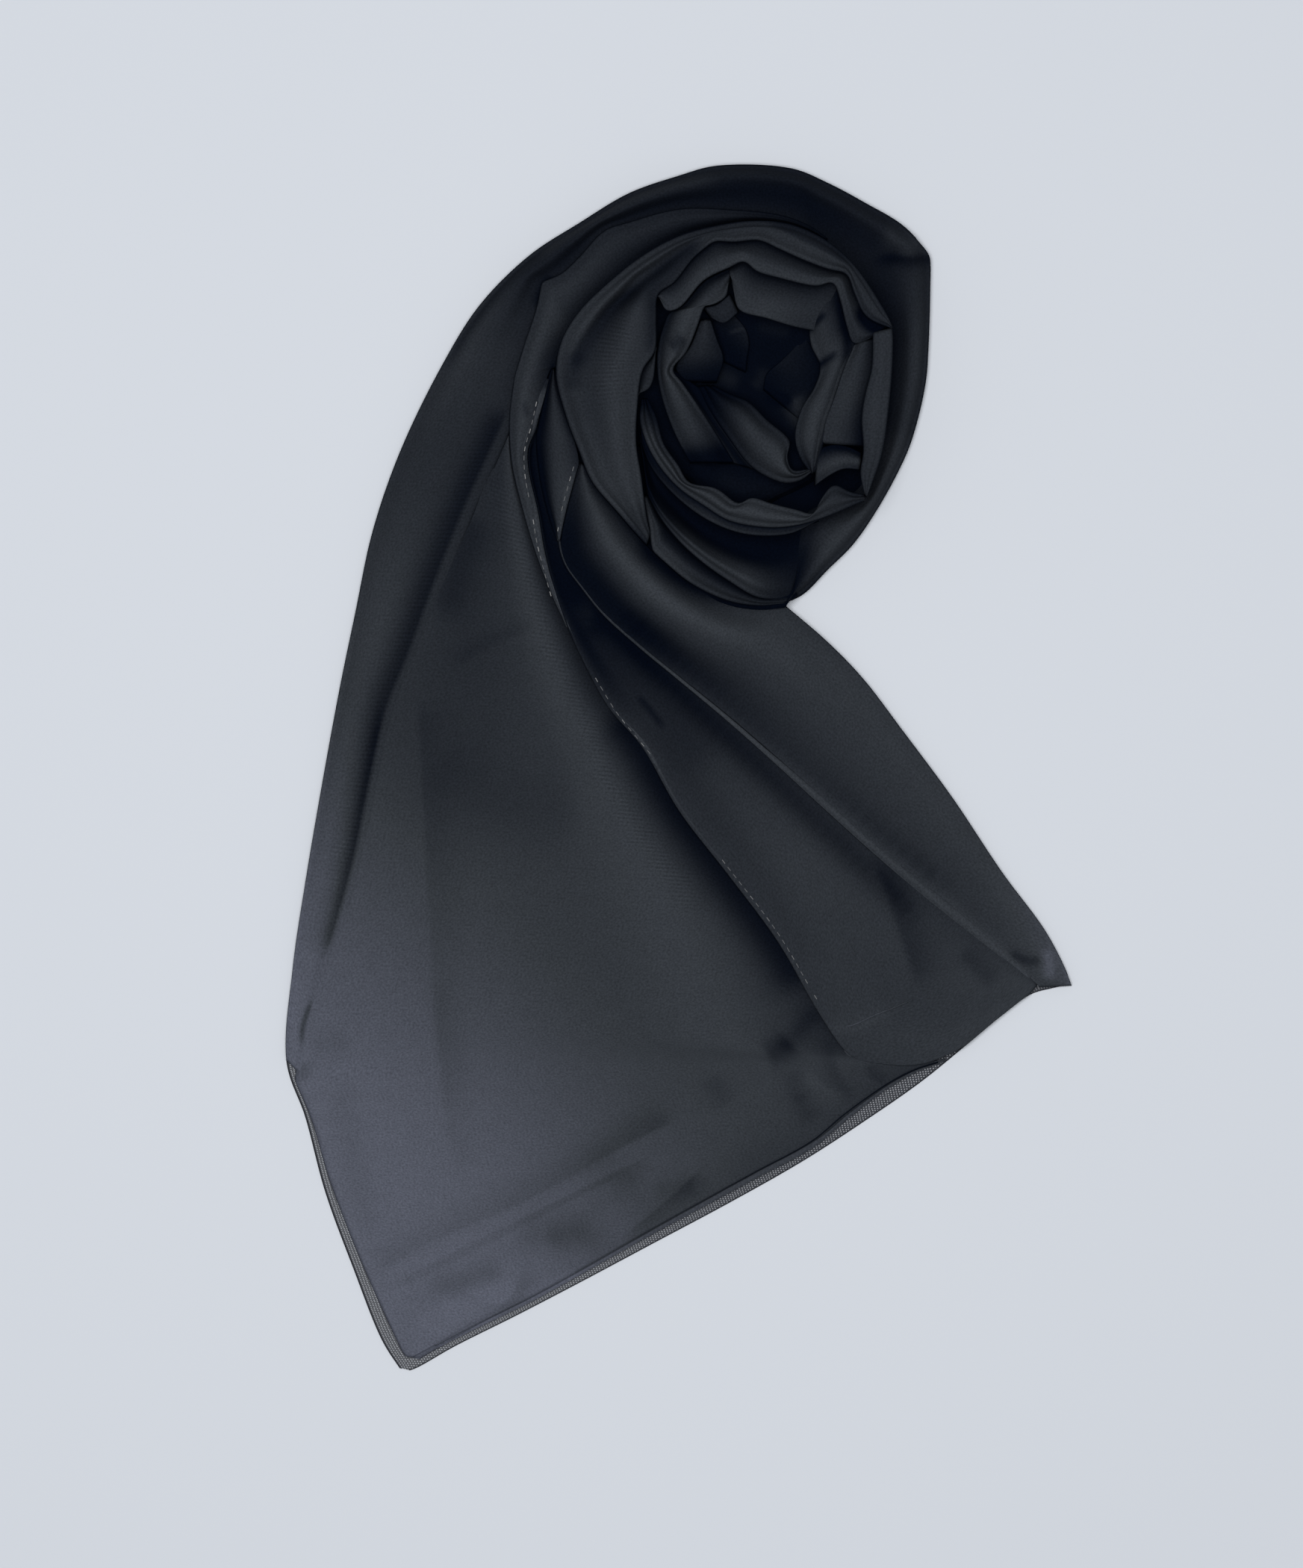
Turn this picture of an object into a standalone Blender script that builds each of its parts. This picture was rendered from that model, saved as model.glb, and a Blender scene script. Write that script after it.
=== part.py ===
"""A black georgette scarf laid flat, with one end wound into a rosette.

The scarf lies on the XY plane, +Z up. The origin is under the middle of its outline, +Y runs along
the longer side. The tail fans out at -Y, the rosette lies at +Y and its turns run inwards clockwise.
Every stretch of cloth is a wall carried along two named edges. Tables are in millimetres.
"""
import bpy
import numpy as np

MM = 0.001

# Driving dimensions in millimetres
TAIL_WALL = 1.2
ROSETTE_WALL = 1.6
GAP = 0.3
SEAM_INSET = 0.22
CORNER_INSET = 0.6
LIP_SHARE = 0.6
SIDE_HEM_WIDTH = 4.5
END_HEM_WIDTH = 17.0
HEM_WALL = 0.7
HEM_LIFT = 0.45
HEM_MOST = 0.95
TAIL_STEP = 13.0
ROSETTE_STEP = 6.5
OUTER_STEP = 8.5
FLOOR_STEP = 18.0
CORE_CENTRE = (20.0, 145.0)
CORE_STEP = 15.0
CURVE_SAMPLES = 16
SHARP_ANGLE = 50.0

# Each edge is a fold or a hem as seen from above. Columns: x, y.
EDGES = {
    "outline_left": (
        (-111, -242.5), (-119, -230), (-131, -200), (-142, -170), (-150, -140), (-157.5, -118),
        (-155, -80), (-150, -46), (-143, -5), (-136, 33), (-130, 62), (-123, 95), (-112, 127),
        (-95, 162), (-80, 186), (-60, 206), (-40, 219), (-20, 231), (0, 238), (15, 242),
        (45, 241), (60, 235), (75, 227), (90, 218), (101.2, 206),
    ),
    "outline_right": (
        (101.2, 206), (100.3, 170), (99, 154), (93.6, 132), (89, 121), (80, 104.5), (70, 90),
        (60, 80), (50, 70), (42, 66.2),
    ),
    "tail_right": (
        (42, 66), (60, 50.5), (74, 36), (90, 15), (110, -12), (130, -42), (147, -65), (155, -80),
        (157.5, -86.5),
    ),
    "hem_outline": (
        (157.5, -86.5), (150, -88), (142, -90.3), (130, -99), (114, -112.3), (97, -126),
        (75, -141.3), (50, -157.5), (20, -174.5), (-10, -190.5), (-40, -206.5), (-65, -219.5),
        (-90, -232), (-106, -241), (-111, -242.5),
    ),
    "upper_hem": (
        (105, -117.3), (95, -120.5), (85, -125.5), (67, -138), (53, -149.5), (30, -162),
        (10, -173), (-10, -184), (-40, -201), (-60, -212), (-80, -222), (-100, -233), (-108, -237),
    ),
    "panel_rim": (
        (-154, -124), (-147, -140), (-139.5, -165), (-128, -195), (-117, -220), (-110, -235),
    ),
    "flap_line": (
        (-153, -122), (-149, -100), (-145, -85), (-137, -58), (-131, -35), (-125, -5), (-118, 25),
        (-110, 45), (-99, 75), (-87, 105), (-78, 125), (-71, 142), (-66, 157), (-62, 170),
        (-57, 185), (-55, 195),
    ),
    "lapel_left": (
        (-44, 55), (-47.5, 62), (-52.5, 73), (-58, 88), (-63, 105), (-67, 122), (-68, 140),
        (-66, 157),
    ),
    "lapel_top": (
        (-55, 195), (-47, 198.5), (-40, 205), (-30, 215.5), (-20, 219), (0, 224.2), (20, 224),
        (40, 222), (52, 217.5),
    ),
    "hem_1": (
        (-51, 161), (-53, 156), (-57, 137), (-60.5, 128), (-60.3, 120), (-56.5, 103), (-54, 88),
        (-50, 72), (-44, 55), (-38, 42), (-28, 24), (-15, 9), (0, -17), (20, -43), (40, -70),
        (56, -98), (67, -114), (72, -117.5),
    ),
    "middle_bottom": (
        (72, -117.5), (83, -119), (92, -119.5), (100, -118.3), (108, -115.2),
    ),
    "hem_2": (
        (-48, 90), (-45, 81), (-39, 73), (-30, 62), (-15, 49), (0, 37), (20, 21), (50, -5),
        (80, -32), (110, -56), (130, -74), (144, -87),
    ),
    "right_lapel_left": (
        (-57.5, 137), (-57.3, 128), (-55.5, 114), (-52, 100), (-48.7, 90.5),
    ),
    "right_lapel_right": (
        (-39.5, 124), (-42, 115), (-45, 104), (-47, 95), (-47.8, 90.5),
    ),
    "petal_outer": (
        (42, 66), (32, 65.2), (20, 67), (5, 74), (-5, 82), (-15, 91.5), (-25, 103), (-35, 115),
        (-40, 127), (-45, 140), (-49.3, 158), (-47, 171.5), (-40, 183), (-30, 193), (-15, 205),
        (0, 213), (15, 217), (30, 219), (45, 217.5), (60, 210.5), (70, 201.5), (80, 187),
        (85, 177), (85.5, 165), (84, 145), (81, 125), (75, 108),
    ),
    "petal_inner": (
        (-11.3, 93.5), (-13, 102), (-15, 117), (-17, 130), (-16.5, 145), (-14.5, 159),
        (-9.5, 167), (-9, 180), (-8.2, 189.5), (-2, 194), (6, 204), (13, 210),
    ),
    "band_edge": (
        (44, 68), (35, 67.8), (30, 69), (20, 75), (10, 82), (0, 91), (-8, 101), (-12, 108.5),
    ),
    "cavity_end": (
        (54.4, 98.5), (49.9, 83.5), (45.3, 68.5),
    ),
    "crescent_under": (
        (54, 98.3), (45, 94), (35, 93), (25, 94), (15, 97.5), (5, 103.5), (-5, 112.5),
        (-12, 122), (-15.8, 133),
    ),
    "crescent_outer": (
        (75, 107.5), (65, 103), (55, 99.2), (45, 96.8), (35, 96.3), (20, 99), (10, 105), (0, 112),
        (-8, 121), (-13, 130), (-15.8, 140), (-15, 148),
    ),
    "crescent_inner": (
        (74, 109.5), (68, 111), (62, 113.5), (57, 108), (54, 102), (47, 103.5), (37, 106),
        (29, 108.3), (24, 106), (15, 112), (4, 114.5), (0, 121), (-6, 130), (-9, 141), (-12.5, 148),
    ),
    "ring_1_inner": (
        (13, 211), (22, 210.3), (32, 211), (40, 207.5), (50, 203), (60, 199.3), (67, 197.5),
        (70, 190), (74, 181.5), (78, 178.5), (84.5, 176),
    ),
    "ring_1_limb": (
        (77.5, 173), (77, 160), (74.5, 150), (73, 140), (73.7, 127), (72.5, 118), (74, 110.5),
    ),
    "ring_2_inner": (
        (-7.5, 187.5), (-5, 183), (0, 184), (10, 195), (20, 200), (26, 202.5), (31, 198.7),
        (40, 196), (55, 192.8), (61.5, 194), (64.5, 187), (67, 177), (70, 169.7), (76.5, 171.8),
    ),
    "ring_3_outer": (
        (-4.5, 182.3), (-8.2, 170), (-8.7, 160), (-7.3, 150), (-3, 137), (1, 128.5), (4, 123),
    ),
    "ring_3_top": (
        (19.8, 193), (19, 189), (14.5, 185.8), (10, 185),
    ),
    "ring_3_inner": (
        (10, 185), (7.5, 177), (3, 166.5), (-2.5, 159.5), (1, 155), (8, 145), (17, 131), (22, 123),
    ),
    "top_petal_edge": (
        (21.7, 191.5), (24, 183.5), (35, 180), (46, 176.7), (52, 175.5),
    ),
    "double_hem": (
        (70, 169.3), (66, 160), (62, 148), (58, 137), (55.5, 126), (54, 119),
    ),
    "inner_limb_edge": (
        (52, 175), (53, 169), (56.5, 160.5), (54, 152), (49, 144), (46.3, 133), (48.5, 124),
        (52.5, 118.5),
    ),
    "pocket_upper": (
        (56.5, 128.3), (62, 129.6), (68, 128.7), (72.5, 126.5),
    ),
    "pocket_lower": (
        (55.5, 113.8), (60, 117), (66, 119.8), (71.5, 119.5),
    ),
    "centre_fold_outer": (
        (8, 152.5), (12, 144), (20, 132), (28, 121.5), (35, 116.7), (43, 114), (49, 115.3), (53, 118.4),
    ),
    "centre_fold_inner": (
        (15, 153), (21, 150), (28, 147), (35, 140), (44.5, 131), (43.5, 125), (45.5, 119.5), (51, 119.6),
    ),
    "wedge_left": (
        (8.5, 179), (4.5, 169), (-1.5, 160.3), (2, 155.5),
    ),
    "wedge_right": (
        (13, 179), (15.3, 172), (18, 164), (15.5, 155.5),
    ),
    "flap_upper": (
        (11, 184.7), (15, 185.6), (19.7, 189.2),
    ),
    "flap_lower": (
        (14, 179.7), (18, 178), (23.3, 182),
    ),
}


def curve(name):
    """The smooth curve through an edge's points: cubic pieces whose ends share their slopes."""
    points = np.array(EDGES[name], float)
    chords = np.linalg.norm(np.diff(points, axis=0), axis=1)
    place = np.concatenate([[0.0], np.cumsum(np.sqrt(chords))])
    slopes = np.gradient(points, place, axis=0)
    t = np.linspace(0.0, 1.0, CURVE_SAMPLES, endpoint=False)[:, None]
    pieces = []
    for i, span in enumerate(np.diff(place)):
        pieces.append(
            (2 * t**3 - 3 * t**2 + 1) * points[i]
            + (t**3 - 2 * t**2 + t) * span * slopes[i]
            + (3 * t**2 - 2 * t**3) * points[i + 1]
            + (t**3 - t**2) * span * slopes[i + 1]
        )
    return np.vstack(pieces + [points[-1:]])


def along(line, count):
    """The line's points at equal steps of its length, count of them and the last."""
    place = np.concatenate([[0.0], np.cumsum(np.linalg.norm(np.diff(line, axis=0), axis=1))])
    wanted = np.linspace(0.0, place[-1], count + 1)
    return np.stack([np.interp(wanted, place, line[:, k]) for k in (0, 1)], axis=1)


def run(name, start, end):
    """The part of an edge from its point nearest start to its point nearest end."""
    line = curve(name)
    first, last = (int(np.argmin(np.linalg.norm(line - np.array(p), axis=1))) for p in (start, end))
    return line[first : last + 1] if first < last else line[last : first + 1][::-1]


def inset(line, other, amount):
    """The line moved towards the other side by amount, square to itself."""
    slope = np.gradient(line, axis=0)
    normal = np.stack([-slope[:, 1], slope[:, 0]], axis=1)
    normal /= np.linalg.norm(normal, axis=1, keepdims=True) + 1e-9
    side = np.sign(((other - line) * normal).sum(axis=1).mean())
    return line + normal * side * amount


def blend(rows, shares):
    """Values of the table's columns at the given shares of the length, eased between its rows."""
    table = np.array(rows, float)
    if len(table) == 1:
        return np.repeat(table[:, 1:], len(shares), axis=0)
    row = np.clip(np.searchsorted(table[:, 0], shares, side="right") - 1, 0, len(table) - 2)
    t = (shares - table[row, 0]) / (table[row + 1, 0] - table[row, 0])
    ease = (t * t * (3 - 2 * t) * 0.5 + t * 0.5)[:, None]
    return table[row, 1:] * (1 - ease) + table[row + 1, 1:] * ease


def sides(legs, step, seam=SEAM_INSET):
    """Both long sides of a stretch, point for point, from its legs of paired edge runs."""
    outer, inner = [], []
    for k, (a, b) in enumerate(legs):
        first, second = run(*a), run(*b)
        longest = max(np.linalg.norm(np.diff(line, axis=0), axis=1).sum() for line in (first, second))
        count = max(2, int(round(longest / step)))
        keep = slice(0, None) if k == 0 else slice(1, None)
        outer.append(along(first, count)[keep])
        inner.append(along(second, count)[keep])
    outer, inner = np.vstack(outer), np.vstack(inner)
    return inset(outer, inner, seam), inset(inner, outer, seam)


def surface(outer, inner, across, rows, fine):
    """Points of the upper face: straight across between the sides, at the table's heights.

    A row of the table holds: share of the length, depth that the outer rim turns down, heights at
    the places across, depth that the inner rim turns down.
    """
    shares = np.linspace(0.0, 1.0, len(outer))
    values = blend(rows, shares)
    places = np.array(across, float)
    if fine:
        middle = (places[1:] + places[:-1]) / 2
        places = np.sort(np.concatenate([places, middle]))
    heights = np.stack([smooth_across(across, values[i, 1:-1], places) for i in range(len(shares))])
    flat = outer[:, None, :] * (1 - places)[None, :, None] + inner[:, None, :] * places[None, :, None]
    return np.concatenate([flat, heights[:, :, None]], axis=2), values[:, 0], values[:, -1]


def smooth_across(across, heights, places):
    """Heights at places between those given, on cubic pieces that share their slopes."""
    knots = np.array(across, float)
    slopes = np.gradient(heights, knots)
    i = np.clip(np.searchsorted(knots, places, side="right") - 1, 0, len(knots) - 2)
    span = knots[i + 1] - knots[i]
    t = (places - knots[i]) / span
    return (
        (2 * t**3 - 3 * t**2 + 1) * heights[i]
        + (t**3 - 2 * t**2 + t) * span * slopes[i]
        + (3 * t**2 - 2 * t**3) * heights[i + 1]
        + (t**3 - t**2) * span * slopes[i + 1]
    )


def cloth_material(name, colour, roughness):
    material = bpy.data.materials.new(name)
    material.use_nodes = True
    shader = material.node_tree.nodes["Principled BSDF"]
    shader.inputs["Base Color"].default_value = (*colour, 1.0)
    shader.inputs["Roughness"].default_value = roughness
    shader.inputs["Metallic"].default_value = 0.0
    return material


def loft(name, rings, material):
    """A closed solid through rings of equal length, capped at both ends, its faces pointing out."""
    count, size = rings.shape[:2]
    index = np.arange(count * size).reshape(count, size)
    turned = np.roll(index, -1, axis=1)
    quads = np.stack([index[:-1], turned[:-1], turned[1:], index[1:]], axis=-1).reshape(-1, 4)
    faces = quads.tolist() + [index[0][::-1].tolist(), index[-1].tolist()]
    mesh = bpy.data.meshes.new(name)
    mesh.from_pydata((rings.reshape(-1, 3) * MM).tolist(), [], faces)
    piece = bpy.data.objects.new(name, mesh)
    bpy.context.scene.collection.objects.link(piece)
    mesh.calc_loop_triangles()
    corners = np.array([[mesh.vertices[v].co for v in t.vertices] for t in mesh.loop_triangles])
    if np.linalg.det(corners).sum() < 0:
        mesh.flip_normals()
    mesh.materials.append(material)
    mesh.shade_smooth()
    mesh.set_sharp_from_angle(angle=np.radians(SHARP_ANGLE))
    return piece


def wall_rings(top, turn_outer, turn_inner, wall):
    """Rings round a wall: its upper face, and a lower face that turns down at rims that have a fold."""
    width = np.linalg.norm(top[:, -1, :2] - top[:, 0, :2], axis=1)
    first_step = np.linalg.norm(top[:, 1, :2] - top[:, 0, :2], axis=1)
    last_step = np.linalg.norm(top[:, -1, :2] - top[:, -2, :2], axis=1)
    lip = (np.minimum(wall, LIP_SHARE * np.minimum(first_step, last_step)) / width)[:, None]
    under = top[:, 1:-1].copy()
    under[:, :, 2] -= wall
    outer_low, inner_low = top[:, 0].copy(), top[:, -1].copy()
    outer_low[:, 2] -= np.maximum(turn_outer, wall)
    inner_low[:, 2] -= np.maximum(turn_inner, wall)
    outer_lip = top[:, 0] * (1 - lip) + top[:, -1] * lip
    inner_lip = top[:, -1] * (1 - lip) + top[:, 0] * lip
    outer_lip[:, 2] = np.minimum(outer_low[:, 2], top[:, 0, 2] - wall)
    inner_lip[:, 2] = np.minimum(inner_low[:, 2], top[:, -1, 2] - wall)
    lower = np.concatenate(
        [inner_low[:, None], inner_lip[:, None], under[:, ::-1], outer_lip[:, None], outer_low[:, None]],
        axis=1,
    )
    return np.concatenate([top, lower], axis=1)


def stretch(name, legs, across, rows, wall=ROSETTE_WALL, step=ROSETTE_STEP, fine=False, seam=SEAM_INSET):
    """One stretch of cloth as a wall between two edges. Its upper points are returned for hems."""
    outer, inner = sides(legs, step, seam)
    top, turn_outer, turn_inner = surface(outer, inner, across, rows, fine)
    loft(name, wall_rings(top, turn_outer, turn_inner, wall), GEORGETTE)
    return top


def hem_strip(name, top, first, last, width):
    """A sewn hem on a panel: the panel's edge points, moved out, as wide as the hem."""
    edge = top[first:last]
    reach = np.linalg.norm(edge[:, -1, :2] - edge[:, 0, :2], axis=1)
    place = np.linspace(0.0, 1.0, 3)[None, :] * np.minimum(width / reach, HEM_MOST)[:, None]
    known = np.linalg.norm(edge[:, :, :2] - edge[:, :1, :2], axis=2) / reach[:, None]
    upper = np.empty((len(edge), 3, 3))
    for i in range(len(edge)):
        for k in range(3):
            upper[i, :, k] = np.interp(place[i], known[i], edge[i, :, k])
    upper[:, :, 2] += HEM_WALL + HEM_LIFT
    lower = upper[:, ::-1].copy()
    lower[:, :, 2] -= HEM_WALL
    loft(name, np.concatenate([upper, lower], axis=1), HEM)


for old in list(bpy.data.objects):
    bpy.data.objects.remove(old, do_unlink=True)

GEORGETTE = cloth_material("georgette", (0.035, 0.038, 0.043), 0.85)
HEM = cloth_material("georgette_hem", (0.028, 0.03, 0.035), 0.85)


# The lowest layer, flat on the floor
def under_layer():
    """One flat sheet inside the outline. It shows outside the upper hem and along the lower left."""
    legs = (
        (("outline_left", (-112, -241), (-157.5, -118)), ("hem_outline", (-108, -242), (156, -86.8))),
        (("outline_left", (-157.5, -118), (-130, 62)), ("tail_right", (156.5, -85), (43, 65))),
        (("outline_left", (-130, 62), (95, 213)), ("outline_right", (43, 67), (101, 202))),
    )
    outer, inner = sides(legs, FLOOR_STEP, seam=0.0)
    top, *_ = surface(outer, inner, (0, 0.5, 1), ((0, 0, TAIL_WALL, TAIL_WALL, TAIL_WALL, 0),), False)
    lower = top[:, ::-1].copy()
    lower[:, :, 2] = 0.0
    loft("under_layer", np.concatenate([top, lower], axis=1), GEORGETTE)


under_layer()

# The tail's panels. Columns of every table below: share of the length, depth of the outer turn,
# heights across from the outer to the inner edge, depth of the inner turn.
BED = TAIL_WALL + GAP

stretch(
    "left_panel",
    (
        (("flap_line", (-67.5, 152), (-103, 65)), ("lapel_left", (-67.6, 148), (-45, 57))),
        (("flap_line", (-103, 65), (-149.5, -103)), ("hem_1", (-44.5, 56), (72, -117.5))),
        (("flap_line", (-149.5, -103), (-153, -122)), ("middle_bottom", (72, -117.5), (106, -116))),
        (("panel_rim", (-154, -124), (-110, -235)), ("upper_hem", (104, -117.5), (-106, -236))),
    ),
    (0, 0.3, 0.6, 0.82, 0.94, 1),
    (
        (0.00, 0, 9, 9, 9, 9, 9, 9, 0),
        (0.20, 0, 6, 7, 7, 8, 7, 5, 0),
        (0.40, 0, 4, 5, 6, 9, 4.5, 3.4, 0),
        (0.60, 0, 3, 4, 4.5, 6, 3.4, 3, 0),
        (0.80, 0, 2.8, 3.4, 3.6, 3.4, 3, 2.8, 0),
        (1.00, 0, 2.7, 3, 3, 3, 2.8, 2.7, 0),
    ),
    wall=TAIL_WALL,
    step=TAIL_STEP,
    seam=CORNER_INSET,
)

stretch(
    "left_flap",
    ((("outline_left", (-157, -116), (-112.4, 126)), ("flap_line", (-152.5, -120), (-77.9, 125.2))),),
    (0, 0.25, 0.6, 0.85, 1),
    (
        (0.00, 1.2, 2.8, 3.2, 3.6, 3.6, 3.2, 0),
        (0.30, 1.8, 3.3, 5, 6, 6, 5, 0),
        (0.70, 2.2, 3.7, 8, 10, 9, 7.5, 0),
        (1.00, 2.4, 4, 10, 13, 12, 11, 0),
    ),
    wall=TAIL_WALL,
    step=TAIL_STEP,
)

middle_top = stretch(
    "middle_panel",
    (
        (("hem_1", (-60.3, 124), (-54.4, 90)), ("right_lapel_left", (-56.9, 124), (-48.9, 91))),
        (("hem_1", (-54.4, 90), (72, -117.5)), ("hem_2", (-47.8, 89), (112, -58))),
        (("middle_bottom", (72, -117.5), (108, -115.2)), ("hem_2", (112, -58), (128, -72))),
        (("hem_outline", (112, -114), (140, -91.5)), ("hem_2", (129, -73), (143.5, -86.5))),
    ),
    (0, 0.15, 0.4, 0.7, 0.9, 1),
    (
        (0.00, 0, 10, 9, 8, 8, 8, 8, 0),
        (0.15, 0, 8, 7, 6.5, 6.5, 6.5, 6.5, 0),
        (0.30, 0, 6, 7, 8, 7, 5.2, 4.6, 0),
        (0.60, 1.6, 4.8, 6, 7.5, 7, 4.6, 4, 0),
        (0.80, 1.5, 4.2, 5, 6, 6, 4.4, 3.8, 0),
        (1.00, 1.2, 3, 3.4, 3.6, 3.6, 3.4, 3, 0),
    ),
    wall=TAIL_WALL,
    step=TAIL_STEP,
)

right_top = stretch(
    "right_panel",
    (
        (("right_lapel_right", (-40, 121), (-47.7, 91)), ("petal_outer", (-37.8, 120.5), (-22, 99.5))),
        (("hem_2", (-48, 90), (20, 21)), ("petal_outer", (-22, 99.5), (41.5, 66))),
        (("hem_2", (20, 21), (144, -87)), ("tail_right", (42.5, 65.5), (157.3, -86))),
    ),
    (0, 0.15, 0.4, 0.7, 0.9, 1),
    (
        (0.00, 0, 12, 12, 12, 12, 12, 12, 0),
        (0.15, 1.5, 10, 9, 13, 15, 11, 9, 0),
        (0.35, 1.6, 7, 6.5, 12, 15, 8, 6, 0),
        (0.55, 1.6, 6, 6.5, 9, 9, 6, 4, 2.4),
        (0.80, 1.4, 5, 6, 7, 6, 4.6, 3.4, 1.8),
        (1.00, 1.2, 3.2, 3.4, 3.6, 3.4, 3, 2.8, 1.2),
    ),
    wall=TAIL_WALL,
    step=TAIL_STEP,
    seam=CORNER_INSET,
)

stretch(
    "right_lapel",
    (
        (("hem_1", (-51.3, 160), (-57, 138)), ("petal_outer", (-49.3, 158), (-41.5, 130))),
        (("right_lapel_left", (-57.5, 136), (-49, 92)), ("right_lapel_right", (-39.6, 124), (-47.7, 92))),
    ),
    (0, 0.3, 0.7, 1),
    (
        (0.00, 0, 12, 13, 13, 12, 0),
        (0.50, 0, 12, 15, 15, 13.6, 0),
        (1.00, 0, 11, 12, 12, 11.4, 0),
    ),
    wall=TAIL_WALL,
)

stretch(
    "middle_lapel",
    (
        (("lapel_left", (-53.4, 75), (-66, 157)), ("hem_1", (-50.8, 75), (-51, 161))),
        (("flap_line", (-66, 157), (-55, 195)), ("petal_outer", (-49.3, 160), (-42, 180))),
        (("lapel_top", (-55, 195), (51, 218)), ("petal_outer", (-42, 180), (48, 216.8))),
    ),
    (0, 0.3, 0.7, 1),
    (
        (0.00, 0, 9, 9.4, 9.4, 9, 0),
        (0.30, 2.5, 13, 15, 14, 12, 0),
        (0.50, 3.0, 14, 16, 15, 12, 0),
        (0.80, 3.0, 15, 16, 15, 12, 0),
        (1.00, 2.0, 13, 13, 12, 11, 0),
    ),
)

# The outermost turn
stretch(
    "outer_loop_top",
    (
        (("outline_left", (-111.8, 127.6), (-67, 200)), ("flap_line", (-77.1, 127), (-55, 195))),
        (("outline_left", (-67, 200), (52, 238.7)), ("lapel_top", (-55, 195), (52, 217.5))),
        (("outline_left", (52, 238.7), (100.5, 207)), ("petal_outer", (52, 215.2), (78.5, 189.5))),
    ),
    (0, 0.15, 0.4, 0.75, 1),
    (
        (0.00, 2.4, 4, 9, 13, 12, 11, 0),
        (0.25, 2.6, 4.2, 10, 14, 12, 10, 0),
        (0.50, 3.0, 4.6, 11, 15, 12, 11, 0),
        (0.72, 3.0, 4.6, 10, 9, 8, 9, 0),
        (0.88, 3.0, 4.6, 11, 9, 8, 9, 0),
        (1.00, 3.0, 4.6, 10, 13, 11, 9, 0),
    ),
    step=OUTER_STEP,
    fine=True,
)

stretch(
    "outer_loop_right",
    (
        (("outline_right", (101.1, 205), (80, 104.5)), ("petal_outer", (79, 188.8), (76, 111))),
        (("outline_right", (80, 104.5), (68, 88)), ("crescent_outer", (75, 107.5), (56, 99.7))),
        (("outline_right", (68, 88), (44, 66.8)), ("cavity_end", (54, 98.5), (44.5, 68.8))),
    ),
    (0, 0.2, 0.5, 0.8, 1),
    (
        (0.00, 3.0, 4.6, 10, 13, 11, 9, 0),
        (0.30, 3.0, 4.6, 10, 12, 9, 8, 0),
        (0.55, 3.0, 4.6, 9, 11, 9, 8, 0),
        (0.80, 3.0, 4.6, 11, 13, 11, 10, 0),
        (1.00, 3.0, 4.6, 6, 7, 7, 7, 0),
    ),
    step=OUTER_STEP,
)

# The broad petal and its run under the rosette
stretch(
    "left_petal",
    (
        (("petal_outer", (-13.6, 90), (-25, 103)), ("petal_inner", (-12, 95.6), (-13.6, 107))),
        (("petal_outer", (-25, 103), (-49.3, 158)), ("petal_inner", (-13.6, 107), (-14.5, 159))),
        (("petal_outer", (-49.3, 158), (-22, 199.6)), ("petal_inner", (-14.5, 159), (-8.2, 189.5))),
        (("petal_outer", (-22, 199.6), (13, 216.6)), ("petal_inner", (-8.2, 189.5), (13, 210))),
    ),
    (0, 0.14, 0.32, 0.7, 1),
    (
        (0.00, 8, 18, 18.5, 19, 19, 18, 0),
        (0.15, 8, 19, 22, 24, 27, 25, 6),
        (0.40, 7, 20, 24, 25, 31, 28, 10),
        (0.62, 9, 22, 26, 22, 31, 28, 6),
        (0.80, 12, 24, 29, 26, 30, 29, 2),
        (1.00, 18, 30, 33, 33, 32, 31, 0),
    ),
    fine=True,
)

stretch(
    "lower_band",
    (
        (("petal_outer", (40, 65.9), (-11.2, 87.9)), ("band_edge", (42.5, 67.9), (-4, 96))),
        (("petal_inner", (-11.4, 93.9), (-13.6, 107)), ("band_edge", (-4, 96), (-12, 108.4))),
    ),
    (0, 0.3, 0.7, 1),
    (
        (0.00, 2, 8, 9, 8.5, 8, 0),
        (0.40, 4, 12, 15, 14.5, 12, 0),
        (0.70, 4, 16, 18, 16, 13, 0),
        (1.00, 0, 17, 17, 16, 15, 0),
    ),
)

stretch(
    "band_under_ring",
    ((("band_edge", (43.6, 68.1), (-12, 108.4)), ("crescent_under", (53, 97.5), (-15.6, 132))),),
    (0, 0.12, 0.3, 0.6, 1),
    (
        (0.00, 2, 9, 12, 12, 11, 11, 0),
        (0.25, 4, 15, 19, 17, 11.5, 11, 0),
        (0.60, 5, 20, 24, 20, 12, 11.5, 0),
        (0.85, 4, 21, 23, 20, 16, 15.5, 0),
        (1.00, 3, 21, 22, 21, 19, 18, 0),
    ),
    fine=True,
)

# The second turn
stretch(
    "ring_1_top",
    ((("petal_outer", (14, 216.8), (84.6, 178)), ("ring_1_inner", (13.5, 210.9), (84, 176.2))),),
    (0, 0.3, 0.7, 1),
    (
        (0.00, 18, 30, 33, 33, 31, 3),
        (0.50, 19, 30, 35, 36, 33, 4),
        (1.00, 20, 30, 31, 31, 30, 2),
    ),
)

stretch(
    "ring_1_right",
    ((("petal_outer", (85.3, 175), (75.6, 109.6)), ("ring_1_limb", (77.4, 172.6), (74.2, 111)),),),
    (0, 0.3, 0.7, 1),
    (
        (0.00, 20, 30, 33, 33, 31, 3),
        (0.50, 19, 28, 33, 34, 30, 4),
        (1.00, 17, 26, 28, 28, 27, 3),
    ),
)

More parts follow.
